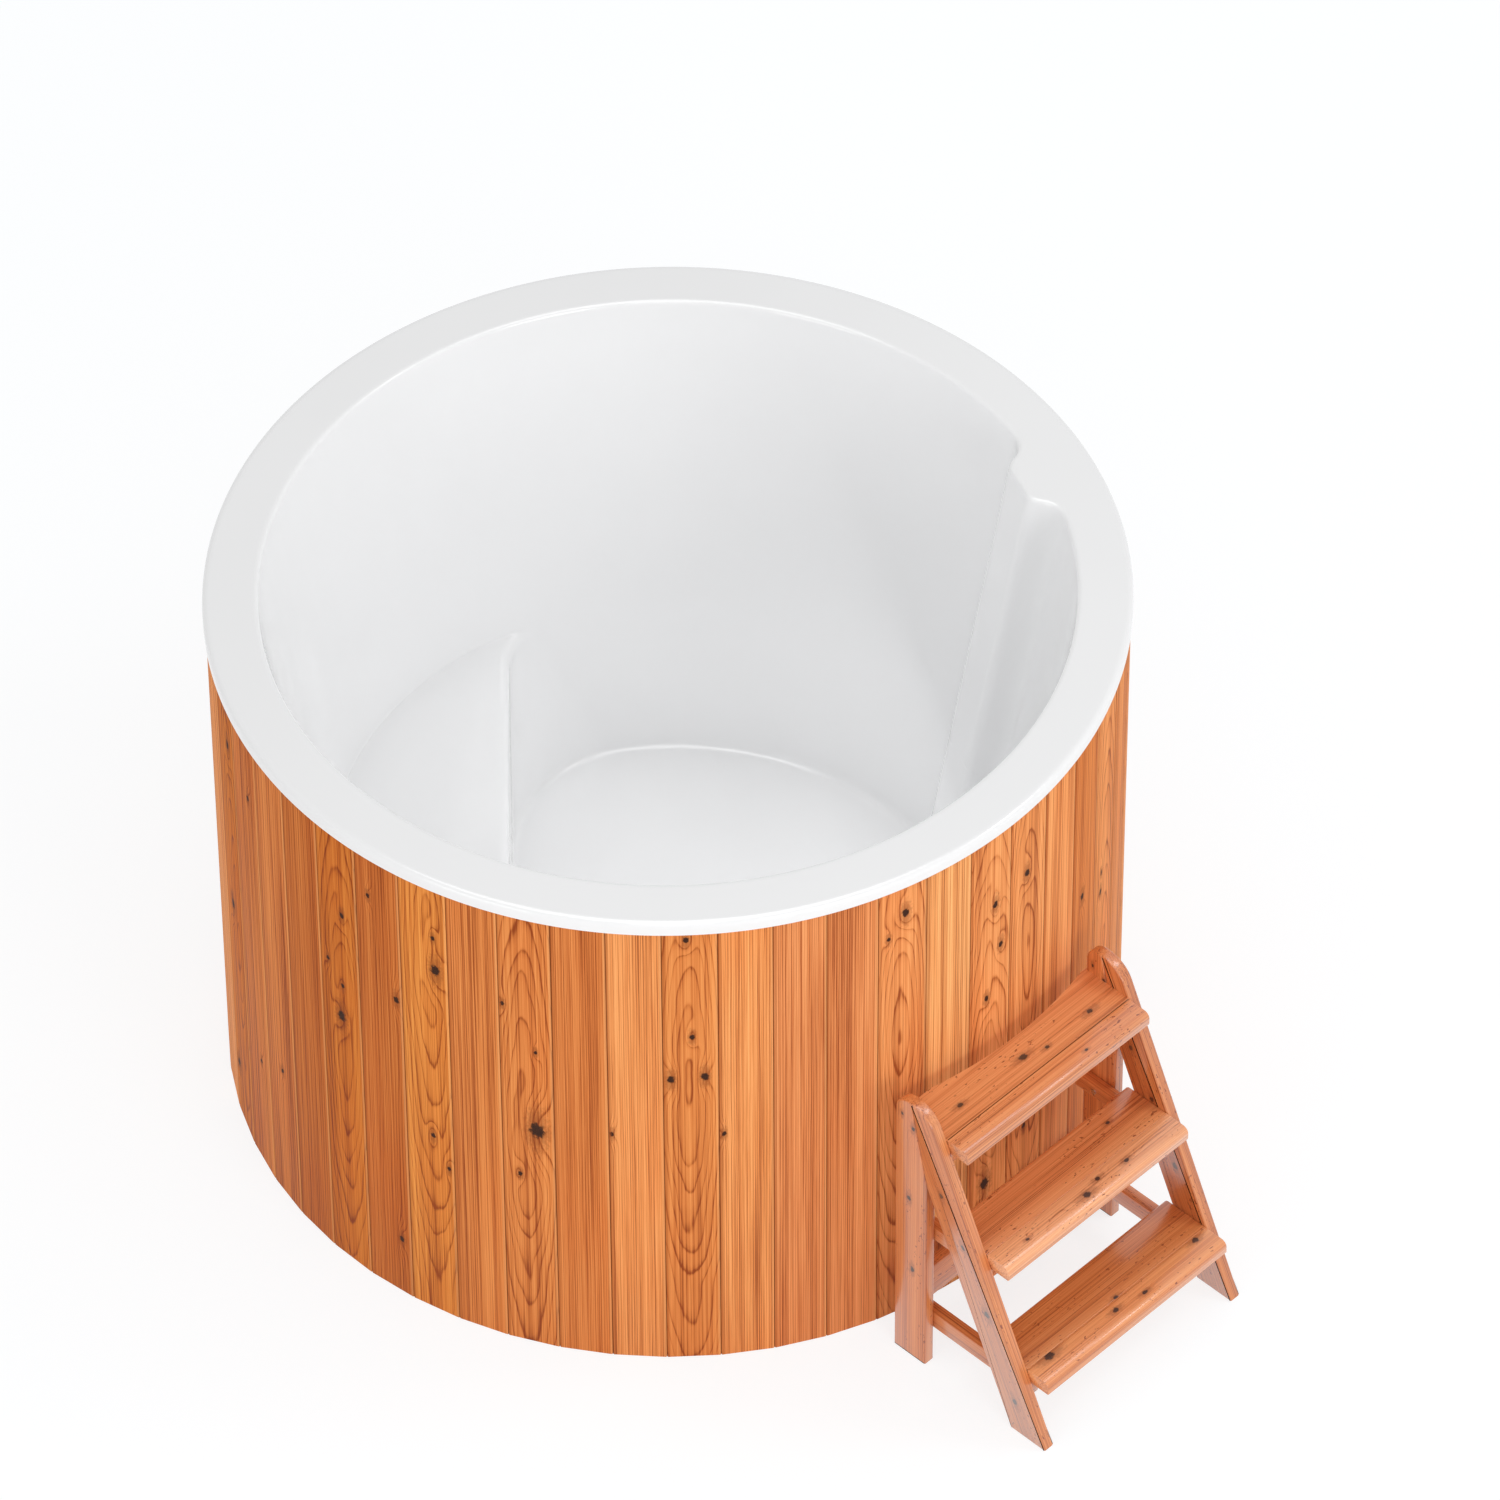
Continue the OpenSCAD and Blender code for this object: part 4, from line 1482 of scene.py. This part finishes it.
    def build(self, finish: GelCoat) -> bpy.types.Object:
        """Builds the liner: an inner sheet, an outer sheet and a strip along both their ends.

        Args:
            finish: The liner's coat.

        Returns:
            The piece that stands for the liner.
        """
        angle = self.directions()
        inner = self.inner_sheet(angle)
        outer = self.outer_sheet(inner, angle)
        cols, base = self.columns, inner.shape[0] * self.columns
        points = np.concatenate([inner.reshape(-1, 3), outer.reshape(-1, 3)])
        j = np.arange(cols)
        k = (j + 1) % cols
        a, b = base - cols, len(points) - cols
        faces = [
            grid_quads(len(inner), cols),
            grid_quads(len(outer), cols, start=base)[:, ::-1],
            np.stack([j, base + j, base + k, k], 1),
            np.stack([a + j, a + k, b + k, b + j], 1),
        ]
        obj = new_piece(
            "moulded_liner", points, np.concatenate(faces).tolist(), "tub", ["liner"], 50.0
        )
        obj.data.materials.append(finish.build())
        return obj


# Steps


@dataclass
class Steps:
    """The loose steps: two side frames, bars, and three treads of a board and a nosing."""

    gap_u: float = 0.8135
    foot_u: float = 1.1745
    lean: float = math.radians(24.0)
    leg_w: float = 0.074
    x_left: float = -0.280
    x_right: float = 0.220
    leg_t: float = 0.022
    treads: tuple[float, float, float] = (0.147, 0.3675, 0.588)
    tread_t: float = 0.028
    tread_depth: float = 0.147
    nose: float = 0.051
    nose_round: float = 0.013
    back_round: float = 0.009
    side_top: float = 0.647
    front_round: float = 0.058
    rear_round: float = 0.028
    low_rail_h: float = 0.038
    bearer_h: float = 0.030
    cross_h: float = 0.075
    back_arc: float = 0.835
    edge: float = 0.0028
    arris: float = 0.0012
    gap: float = 0.0002
    play: float = 0.0003
    seam_low: float = 0.0006
    seam_top: float = 0.0008
    nose_low: float = 0.003
    top_arris: float = 0.0025
    bar_back: float = 0.005

    def front_u(self, z: float) -> float:
        """Distance of the front legs' front from the axis at a height."""
        return self.foot_u - z * math.tan(self.lean)

    @property
    def in_left(self) -> float:
        """Inner face of the left legs."""
        return self.x_left + self.leg_t

    @property
    def in_right(self) -> float:
        """Inner face of the right legs."""
        return self.x_right - self.leg_t

    @staticmethod
    def upright(flat: Array) -> Array:
        """Turns prism points (u, z, x) into the model's (x, -u, z)."""
        return np.column_stack([flat[:, 2], -flat[:, 0], flat[:, 1]])

    def leg_outlines(self) -> tuple[Array, Array]:
        """Side views of a rear and a front leg as (u, z), with the mitre between them.

        Returns:
            Their outlines, counter-clockwise.
        """
        run = self.leg_w / math.cos(self.lean)
        rear_in = self.gap_u + self.leg_w
        mitre_z = (self.foot_u - run - rear_in) / math.tan(self.lean)
        mitre_u = rear_in - (self.side_top - mitre_z) * math.tan(self.lean / 2)
        top, g = self.side_top, self.gap
        rear = [(self.gap_u, 0.0), (rear_in, 0.0), (rear_in, mitre_z), (mitre_u - g, top)]
        rear.append((self.gap_u, top))
        front = [(self.foot_u - run, 0.0), (self.foot_u, 0.0), (self.front_u(top), top)]
        front += [(mitre_u + g, top), (rear_in + g, mitre_z)]
        foot = [0.001, 0.001]
        return (
            rounded_outline(rear, foot + [0.0, 0.0, self.rear_round], 8),
            rounded_outline(front, foot + [self.front_round, 0.0, 0.0], 12),
        )

    def plank(
        self,
        name: str,
        nodes: Sequence[str],
        parts: Sequence[tuple[Array, list]],
        to_grain: Callable[[Array], Array],
        figure: Figure,
        material: bpy.types.Material,
        seed: int,
    ) -> bpy.types.Object:
        """Makes one piece of one or more prisms and lays its grain.

        Args:
            name: Name of the piece.
            nodes: CAD nodes that it replaces.
            parts: (points, faces) of each prism.
            to_grain: Gives across, depth and along for each point.
            figure: Tone, cut and knots.
            material: Its wood.
            seed: Number that shifts the noise.

        Returns:
            The piece.
        """
        points, faces, vectors, start = [], [], empty_vectors(), 0
        rng = np.random.default_rng(seed)
        for part_points, part_faces in parts:
            if signed_volume(part_points, part_faces) < 0:
                part_faces = [tuple(reversed(f)) for f in part_faces]
            points.append(part_points)
            faces += [tuple(i + start for i in f) for f in part_faces]
            start += len(part_points)
            figure.lay(vectors, to_grain(part_points), rng.uniform(-40, 40, 3))
        obj = new_piece(name, np.concatenate(points), faces, "steps", nodes, 35.0)
        store_vectors(obj, vectors)
        obj.data.materials.append(material)
        return obj

    def build_legs(self, material: bpy.types.Material) -> None:
        """Builds the four legs, their grain along each leg.

        Args:
            material: Wood of the legs.
        """
        rear, front = self.leg_outlines()
        c, s = math.cos(self.lean), math.sin(self.lean)

        def rear_grain(p: Array, outer: int) -> Array:
            """Across along u, along up."""
            across = -p[:, 1] - self.gap_u - self.leg_w / 2
            return np.column_stack([across, outer * p[:, 0], p[:, 2]])

        def front_grain(p: Array, outer: int) -> Array:
            """Across at right angles to the leaning leg, along up the leg.

            Args:
                p: (n, 3) points of the leg.
                outer: -1 for a left leg, 1 for a right one.

            Returns:
                (n, 3) points in the leg's own terms.
            """
            u, z = -p[:, 1] - self.foot_u, p[:, 2]
            across = u * c + z * s + self.leg_w / 2
            return np.column_stack([across, outer * p[:, 0], z * c - u * s])

        rear_knots = knots((-22, 609, 3.0), (4, 589, 4.0), (-4, 405, 4.5), (5, 227, 4.5))
        front_knots = knots((-3, 531, 4.0), (7, 425, 4.0), (8, 284, 5.5), (1, 97, 4.5))
        kinds = (
            ("rear", rear, rear_grain, rear_knots, 11),
            ("front", front, front_grain, front_knots, 31),
        )
        for side, x0, outer in (("left", self.x_left, -1), ("right", self.in_right, 1)):
            for kind, outline, grain, places, seed in kinds:
                flat, faces = prism(outline, x0, x0 + self.leg_t, self.edge)
                self.plank(
                    f"{kind}_post_{side}", [f"{kind}_leg_{side}"], [(self.upright(flat), faces)],
                    partial(grain, outer=outer), Figure(Tone.WARM, Cut.STRAIGHT, places),
                    material, seed + outer,
                )

    def bar(
        self,
        x: tuple[float, float],
        u: tuple[float, float],
        z: tuple[float, float],
        radii: Sequence[float],
        steps: int,
        end: float,
    ) -> tuple[Array, list]:
        """A straight bar with rounded edges between two corners.

        Args:
            x: Its left and right end.
            u: Its back and front.
            z: Its underside and top.
            radii: Radii of its long edges: lower back, lower front, upper front, upper back.
            steps: Number of pieces in each rounded long edge.
            end: Radius of the end edges.

        Returns:
            Points and faces.
        """
        corners = [(u[0], z[0]), (u[1], z[0]), (u[1], z[1]), (u[0], z[1])]
        flat, faces = prism(rounded_outline(corners, radii, steps), x[0], x[1], end, 2)
        return self.upright(flat), faces

    def build_bars(self, material: bpy.types.Material) -> None:
        """Builds the rails and bearers inside the side frames and the cross rail.

        Args:
            material: Wood of the bars.
        """
        tops = [z - self.tread_t for z in self.treads]
        sides = ((self.in_left, self.in_left + self.leg_t), (self.in_right - self.leg_t, self.in_right))

        def bar_grain(p: Array) -> Array:
            """Along the bar, which runs out from the tub."""
            return np.column_stack([p[:, 2] - 0.1, p[:, 0], -p[:, 1]])

        sets = (
            ("side_rails", "low_rails", self.gap_u + self.leg_t, tops[0], self.low_rail_h),
            ("middle_bearers", "mid_bearers", self.gap_u, tops[1], self.bearer_h),
            ("upper_bearers", "top_bearers", self.gap_u, tops[2], self.bearer_h),
        )
        rounds = ([self.edge] * 4, 3, self.edge * 0.7)
        for seed, (name, node, back, top, height) in enumerate(sets):
            u = (back, self.front_u(top) - self.bar_back)
            parts = [self.bar(x, u, (top - height, top), *rounds) for x in sides]
            figure = Figure(Tone.WARM, Cut.RIFT)
            self.plank(name, [node], parts, bar_grain, figure, material, 50 + seed)
        low = tops[0] - self.low_rail_h
        x, u = (self.in_left, self.in_right), (self.gap_u, self.gap_u + self.leg_t)

        def cross_grain(p: Array) -> Array:
            """Along from leg to leg."""
            across = p[:, 2] - low - self.cross_h / 2
            return np.column_stack([across, -p[:, 1] - self.gap_u, p[:, 0]])

        self.plank(
            "rear_cross_rail", ["cross_rail"], [self.bar(x, u, (low, low + self.cross_h), *rounds)],
            cross_grain, Figure(Tone.WARM, Cut.PLAIN, knots((10, -100, 4), (-8, 90, 5))),
            material, 60,
        )

    @staticmethod
    def tread_looks() -> tuple[tuple[str, Figure, Figure], ...]:
        """Name of each tread, and the looks of its back board and its nosing.

        Returns:
            (name, look of the board, look of the nosing) of each tread, from the lowest up.
        """
        low_nose = knots((-20, -208, 8), (-8, -52, 4.5), (1, 14, 4), (-18, 163, 5))
        mid_nose = knots((-1, -182, 3), (3, -37, 6), (-9, 2, 4), (-3, 69, 4))
        top_board = knots((12, -28, 6), (26, 18, 3.5), (22, 131, 5), (11, -184, 4.5))
        return (
            (
                "low",
                Figure(Tone.BROWN, Cut.RIFT, knots((46, -30, 4))),
                Figure(Tone.TAN, Cut.RIFT, low_nose),
            ),
            (
                "mid",
                Figure(Tone.WARM, Cut.STRAIGHT, knots((-12, 110, 3))),
                Figure(Tone.LIGHT, Cut.PLAIN, mid_nose, 120.0),
            ),
            (
                "top",
                Figure(Tone.WARM, Cut.RIFT, top_board, -60.0),
                Figure(Tone.WARM, Cut.RIFT, knots((4, 60, 2.5))),
            ),
        )

    def build_treads(self, material: bpy.types.Material) -> None:
        """Builds each tread's back board and its rounded nosing.

        Args:
            material: Wood of the treads.
        """

        def tread_grain(p: Array, middle: float, top: float) -> Array:
            """Along from side to side, across from back to front."""
            return np.column_stack([-p[:, 1] - middle, p[:, 2] - top, p[:, 0]])

        for number, (z, look) in enumerate(zip(self.treads, self.tread_looks())):
            name, board_look, nose_look = look
            front = self.front_u(z)
            nose = front + self.nose
            heights = (z - self.tread_t, z)
            if name == "top":
                back = self.gap_u
                part = self.top_board(back, front, z)
            else:
                back = nose - self.tread_depth
                x = (self.in_left + self.play, self.in_right - self.play)
                radii = [self.edge, self.seam_low, self.seam_top, self.back_round]
                part = self.bar(x, (back, front - self.gap), heights, radii, 6, self.arris)
            self.plank(
                f"step_board_{name}", [f"tread_{name}_board"], [part],
                partial(tread_grain, middle=(back + front) / 2, top=z),
                board_look, material, 70 + number,
            )
            x = (self.in_left, self.in_right)
            radii = [self.seam_low, self.nose_low, self.nose_round, self.seam_top]
            part = self.bar(x, (front, nose), heights, radii, 8, self.arris)
            self.plank(
                f"step_nosing_{name}", [f"tread_{name}_nosing"], [part],
                partial(tread_grain, middle=(front + nose) / 2, top=z),
                nose_look, material, 80 + number,
            )

    def top_board(self, back: float, front: float, z: float) -> tuple[Array, list]:
        """The top tread's back board, its back edge an arc round the tub's axis, in plan.

        The arc is u = sqrt(radius^2 - x^2) where that lies beyond the straight back.

        Args:
            back: Distance of its straight back from the axis.
            front: Distance of its front from the axis.
            z: Height of its top.

        Returns:
            Points and faces.
        """
        left, right = self.in_left + self.play, self.in_right - self.play
        x = np.linspace(right, left, 49)
        u = np.maximum(back, np.sqrt(self.back_arc**2 - x**2))
        front_side = [(left, front - self.gap), (right, front - self.gap)]
        outline = np.concatenate([front_side, np.column_stack([x, u])])
        flat, faces = prism(outline, z - self.tread_t, z, self.top_arris, 3)
        return np.column_stack([flat[:, 0], -flat[:, 1], flat[:, 2]]), faces

    def build(self, legs: FigureWood, treads: FigureWood) -> None:
        """Builds every piece of the steps.

        Args:
            legs: Wood of the legs and bars.
            treads: Wood of the treads.
        """
        leg_material = legs.build()
        self.build_legs(leg_material)
        self.build_bars(leg_material)
        self.build_treads(treads.build())


# Carried-over nodes


@dataclass
class HiddenParts:
    """The frame, the drain and the valve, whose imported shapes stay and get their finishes."""

    nodes: dict[str, bpy.types.Object]

    def finishes(self) -> dict[str, bpy.types.Material]:
        """A material for each group of nodes.

        Returns:
            The materials by the group's name.
        """
        timber = ((0.56, 0.40, 0.23), (0.30, 0.18, 0.09))
        steel = (0.60, 0.60, 0.61)
        return {
            "joist": SawnTimber("joist_timber", *timber, "Y").build(),
            "cross": SawnTimber("tie_timber", *timber, "X").build(),
            "upright": SawnTimber("stud_timber", *timber, "Z").build(),
            "plywood": Plywood().build(),
            "foam": RigidFoam().build(),
            "steel": BrushedMetal("stainless", steel, 0.28).build(),
            "plate": BrushedMetal("stainless_plate", steel, 0.32, (900.0, 900.0, 30.0)).build(),
            "rubber": MouldedPlastic("rubber_black", (0.03, 0.03, 0.03), 0.7).build(),
            "pipe": MouldedPlastic("pipe_grey", (0.20, 0.21, 0.22), 0.38).build(),
            "nut": MouldedPlastic("nut_grey", (0.15, 0.16, 0.17), 0.42, 2.0).build(),
            "seal": MouldedPlastic("seal_white", (0.80, 0.80, 0.78), 0.3).build(),
            "lever": MouldedPlastic("lever_red", (0.45, 0.04, 0.025), 0.36, 1.5).build(),
            "brass": BrushedMetal("gland_brass", (0.66, 0.48, 0.18), 0.26).build(),
        }

    def dress(self) -> None:
        """Gives every node that stays its finish."""
        groups = {
            "joist": ["joists"],
            "cross": ["joist_tie", "seat_rail"],
            "upright": ["studs"],
            "plywood": [
                "base_board", "ring_bottom", "ring_middle", "ring_top", "rim_ring", "seat_gables",
            ],
            "foam": ["insulation_panels"],
            "steel": [
                "frame_screws", "step_screws", "lever_screw",
                "drain_flange", "drain_strainer", "valve_ball", "valve_stem",
            ],
            "plate": ["outlet_plate"],
            "rubber": ["drain_gasket"],
            "pipe": ["drain_sump", "drain_pipe", "valve_body", "outlet_spigot"],
            "nut": ["drain_nut", "pipe_clips", "union_nuts"],
            "seal": ["valve_seats"],
            "lever": ["valve_lever"],
            "brass": ["gland_nut"],
        }
        made = self.finishes()
        for group, names in groups.items():
            for name in names:
                obj = self.nodes[name]
                if obj.material_slots:
                    for holder in obj.material_slots:
                        holder.material = made[group]
                else:
                    obj.data.materials.append(made[group])
            LOG.info("%s finish on %s", group, ", ".join(names))


# Studio


WHITE = (1.0, 1.0, 1.0)


@dataclass(frozen=True)
class Lamp:
    """A soft area lamp, square or round, hidden from the kinds of ray that are named."""

    name: str
    place: Point
    size: float
    power: float
    aim: Point = (0.0, 0.0, 0.5)
    shape: str = "SQUARE"
    hidden_from: tuple[str, ...] = ()

    def build(self) -> None:
        """Adds the lamp at its place, turned to its aim."""
        data = bpy.data.lights.new(self.name, "AREA")
        data.shape = self.shape
        data.size = self.size
        data.energy = self.power
        obj = bpy.data.objects.new(self.name, data)
        way = Vector(self.aim) - Vector(self.place)
        obj.rotation_euler = way.to_track_quat("-Z", "Y").to_euler()
        obj.location = self.place
        for ray in self.hidden_from:
            setattr(obj, f"visible_{ray}", False)
        bpy.context.scene.collection.objects.link(obj)


@dataclass
class Studio:
    """Camera, light and floor.

    The two discs stand inside the tub and light it without being seen. The sheen lamp shows in
    reflections alone, as thin bright lines along the edges.
    """

    eye: Point = (-9.436, -9.436, 14.519)
    heading: float = math.radians(-45.0)
    yaw: float = 0.0105
    pitch: float = math.radians(46.009)
    roll: float = -0.0062
    lens: float = 263.28
    sensor: float = 36.0
    sky: float = 0.700
    floor_size: float = 30.0
    floor_drop: float = 0.0005
    floor_color: Color = (0.84, 0.84, 0.84)
    shadow_color: Color = (0.245, 0.262, 0.275)
    floor_glow: float = 0.79
    lamps: tuple[Lamp, ...] = (
        Lamp("top_lamp", (2.9, -2.9, 5.6), 1.6, 45.0),
        Lamp("key_lamp", (-1.6, -6.0, 2.6), 2.4, 80.0),
        Lamp("side_lamp", (-6.2, -0.6, 2.4), 2.4, 40.0),
        Lamp("front_lamp", (-3.6, -3.6, 6.0), 1.8, 20.0),
        Lamp(
            "riser_lamp", (0.32, -0.26, 0.62), 0.30, 0.98, (-0.22, 0.28, 0.28),
            "DISK", ("camera", "glossy"),
        ),
        Lamp(
            "mouth_lamp", (0.0, 0.0, 1.02), 1.06, 0.05, (0.0, 0.0, 0.0),
            "DISK", ("camera", "glossy"),
        ),
        Lamp(
            "sheen_lamp", (0.0, 0.0, 6.0), 4.0, 130.0, (0.0, 0.0, 0.0),
            "SQUARE", ("camera", "diffuse"),
        ),
    )

    def axes(self) -> tuple[Vector, Vector, Vector]:
        """The camera's right, up and forward: yaw and pitch, then roll, then the heading.

        Returns:
            The three unit vectors, in the model's frame.
        """
        sin_yaw, cos_yaw = math.sin(self.yaw), math.cos(self.yaw)
        level = math.cos(self.pitch)
        forward = Vector((sin_yaw * level, cos_yaw * level, -math.sin(self.pitch)))
        right = Vector((cos_yaw, -sin_yaw, 0.0))
        up = right.cross(forward)
        right, up = (
            right * math.cos(self.roll) + up * math.sin(self.roll),
            up * math.cos(self.roll) - right * math.sin(self.roll),
        )
        turn = Matrix.Rotation(self.heading, 3, "Z")
        return turn @ right, turn @ up, turn @ forward

    def camera(self) -> None:
        """Adds the camera at the photo's place and angle."""
        right, up, forward = self.axes()
        data = bpy.data.cameras.new("camera")
        data.lens = self.lens
        data.sensor_width = self.sensor
        data.clip_end = 200.0
        obj = bpy.data.objects.new("camera", data)
        frame = Matrix.Identity(4)
        for column, axis in enumerate((right, up, -forward)):
            for row in range(3):
                frame[row][column] = axis[row]
        frame.translation = Vector(self.eye)
        obj.matrix_world = frame
        bpy.context.scene.collection.objects.link(obj)
        bpy.context.scene.camera = obj

    @staticmethod
    def shader(
        tree: bpy.types.NodeTree, kind: str, color: Color, strength: float | None = None
    ) -> Socket:
        """A shader node's result, with its colour and, where it has one, its strength.

        Args:
            tree: The node tree.
            kind: Type of the node.
            color: Its colour.
            strength: Its strength, or None where it has none.

        Returns:
            Its output.
        """
        node = tree.nodes.new(kind)
        node.inputs["Color"].default_value = (*color, 1.0)
        if strength is not None:
            node.inputs["Strength"].default_value = strength
        return node.outputs[0]

    @staticmethod
    def show(tree: bpy.types.NodeTree, kind: str, lit: Socket, seen: Socket) -> None:
        """Ends a node tree with one shader for rays that light and another for rays that see.

        Rays that see are the camera's own, those in reflections and those through glass.

        Args:
            tree: The node tree.
            kind: Kind of its output node.
            lit: Shader for rays that light.
            seen: Shader for rays that see.
        """
        path = tree.nodes.new("ShaderNodeLightPath")
        share = path.outputs["Is Camera Ray"]
        for ray in ("Is Glossy Ray", "Is Transmission Ray"):
            either = tree.nodes.new("ShaderNodeMath")
            either.operation = "MAXIMUM"
            tree.links.new(share, either.inputs[0])
            tree.links.new(path.outputs[ray], either.inputs[1])
            share = either.outputs[0]
        mix = tree.nodes.new("ShaderNodeMixShader")
        for socket, source in zip(mix.inputs, (share, lit, seen)):
            tree.links.new(source, socket)
        tree.links.new(mix.outputs[0], tree.nodes.new(kind).inputs["Surface"])

    def world(self) -> None:
        """An even sky: full white where it is seen, softer as light."""
        world = bpy.data.worlds.new("studio")
        bpy.context.scene.world = world
        world.use_nodes = True
        tree = world.node_tree
        tree.nodes.clear()
        lit = self.shader(tree, "ShaderNodeBackground", WHITE, self.sky)
        seen = self.shader(tree, "ShaderNodeBackground", WHITE, 1.0)
        self.show(tree, "ShaderNodeOutputWorld", lit, seen)

    def floor(self) -> None:
        """A pale floor that looks white and keeps the object's soft shadow.

        Where it is seen, it is a glow plus a darker matt surface, which alone takes the shadow.
        """
        size = self.floor_size
        corners = [(-size, -size, 0), (size, -size, 0), (size, size, 0), (-size, size, 0)]
        mesh = bpy.data.meshes.new("studio_floor")
        mesh.from_pydata(corners, [], [(0, 1, 2, 3)])
        obj = bpy.data.objects.new("studio_floor", mesh)
        obj.location.z = -self.floor_drop
        bpy.context.scene.collection.objects.link(obj)
        material = bpy.data.materials.new("floor_white")
        material.use_nodes = True
        tree = material.node_tree
        tree.nodes.clear()
        lit = self.shader(tree, "ShaderNodeBsdfDiffuse", self.floor_color)
        matt = self.shader(tree, "ShaderNodeBsdfDiffuse", self.shadow_color)
        glow = self.shader(tree, "ShaderNodeEmission", WHITE, self.floor_glow)
        both = tree.nodes.new("ShaderNodeAddShader")
        tree.links.new(matt, both.inputs[0])
        tree.links.new(glow, both.inputs[1])
        self.show(tree, "ShaderNodeOutputMaterial", lit, both.outputs[0])
        mesh.materials.append(material)

    def build(self) -> None:
        """Builds camera, floor, sky and lamps, with the plain view transform."""
        bpy.context.scene.view_settings.view_transform = "Standard"
        self.camera()
        self.floor()
        self.world()
        for lamp in self.lamps:
            lamp.build()


def board_figures() -> dict[int, Figure]:
    """The looks of the boards that the photo shows, by board number.

    Returns:
        The look of each of them.
    """
    return {
        23: Figure(Tone.WARM, Cut.RIFT, knots((11, 940, 5), (10, 273, 4))),
        24: Figure(Tone.WARM, Cut.RIFT, knots((1, 329, 4))),
        25: Figure(Tone.BROWN, Cut.RIFT),
        26: Figure(
            Tone.AMBER, Cut.FIGURED,
            knots((-1, 630, 9), (5, 710, 4), (10, 890, 5), (-29, 756, 3.5)),
            640.0,
        ),
        27: Figure(Tone.BROWN, Cut.RIFT, knots((35, 761, 5.5), (-20, 985, 4), (26, 140, 5))),
        28: Figure(
            Tone.GOLDEN, Cut.PLAIN,
            knots((23, 882, 9), (20, 960, 4), (7, 455, 4.5), (37, 386, 4)),
            890.0,
        ),
        29: Figure(Tone.TAN, Cut.STRAIGHT),
        30: Figure(
            Tone.TAN, Cut.FIGURED,
            knots((16, 555, 13), (17, 753, 3), (-17, 434, 4), (-41, 859, 4)),
            560.0,
        ),
        31: Figure(Tone.WARM, Cut.STRAIGHT),
        32: Figure(Tone.PALE, Cut.STRAIGHT, knots((-42, 576, 4))),
        33: Figure(
            Tone.TAN, Cut.FIGURED,
            knots((3, 824, 4.5), (-34, 719, 6.5), (24, 724, 6.5), (-6, 1065, 5)),
            720.0,
        ),
        34: Figure(Tone.PALE, Cut.STRAIGHT, knots((-39, 576, 4))),
        35: Figure(Tone.ROSE, Cut.STRAIGHT),
        36: Figure(Tone.ROSE, Cut.STRAIGHT),
        37: Figure(Tone.LIGHT, Cut.FIGURED, knots((5, 1015, 7), (-28, 966, 4)), 738.0),
        38: Figure(Tone.BLOND, Cut.STRAIGHT),
        39: Figure(
            Tone.LIGHT, Cut.FIGURED,
            knots((11, 908, 6), (25, 800, 5), (-7, 686, 5), (-5, 208, 10)),
            215.0,
        ),
        40: Figure(Tone.LIGHT, Cut.FIGURED, knots((-3, 924, 6), (1, 278, 5)), 740.0),
        41: Figure(Tone.LIGHT, Cut.STRAIGHT),
        42: Figure(Tone.WARM, Cut.RIFT, knots((-8, 700, 6))),
        43: Figure(Tone.LIGHT, Cut.PLAIN, knots((-16, 628, 5), (-14, 674, 4))),
    }


def main() -> None:
    """Builds every part of the scene in order."""
    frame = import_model()
    Studio().build()
    LOG.info("studio ready")
    Liner().build(GelCoat())
    # The cladding's half_width lays a painted highlight and painted shade along each board's edges, and
    # the dark joints.
    boards = FigureWood(
        "cladding_larch", (0.92, 0.36, 0.118), (0.72, 0.228, 0.062), (0.31, 0.062, 0.014),
        half_width=0.0474, level=0.08, roughness=0.6,
    )
    Cladding(figures=board_figures()).build(boards)
    oiled = {"level": 0.5, "coat": 1.0, "coat_roughness": 0.16, "fleck": 1.0}
    legs = FigureWood(
        "leg_larch", (0.86, 0.345, 0.125), (0.68, 0.225, 0.072), (0.28, 0.060, 0.018),
        ring=0.0026, roughness=0.36, contrast=0.22, **oiled,
    )
    treads = FigureWood(
        "tread_larch", (0.90, 0.40, 0.17), (0.76, 0.28, 0.105), (0.30, 0.070, 0.020),
        ring=0.0028, roughness=0.34, contrast=0.24, **oiled,
    )
    Steps().build(legs, treads)
    HiddenParts(frame["nodes"]).dress()


if __name__ == "__main__":
    logging.basicConfig(level=logging.INFO)
    main()
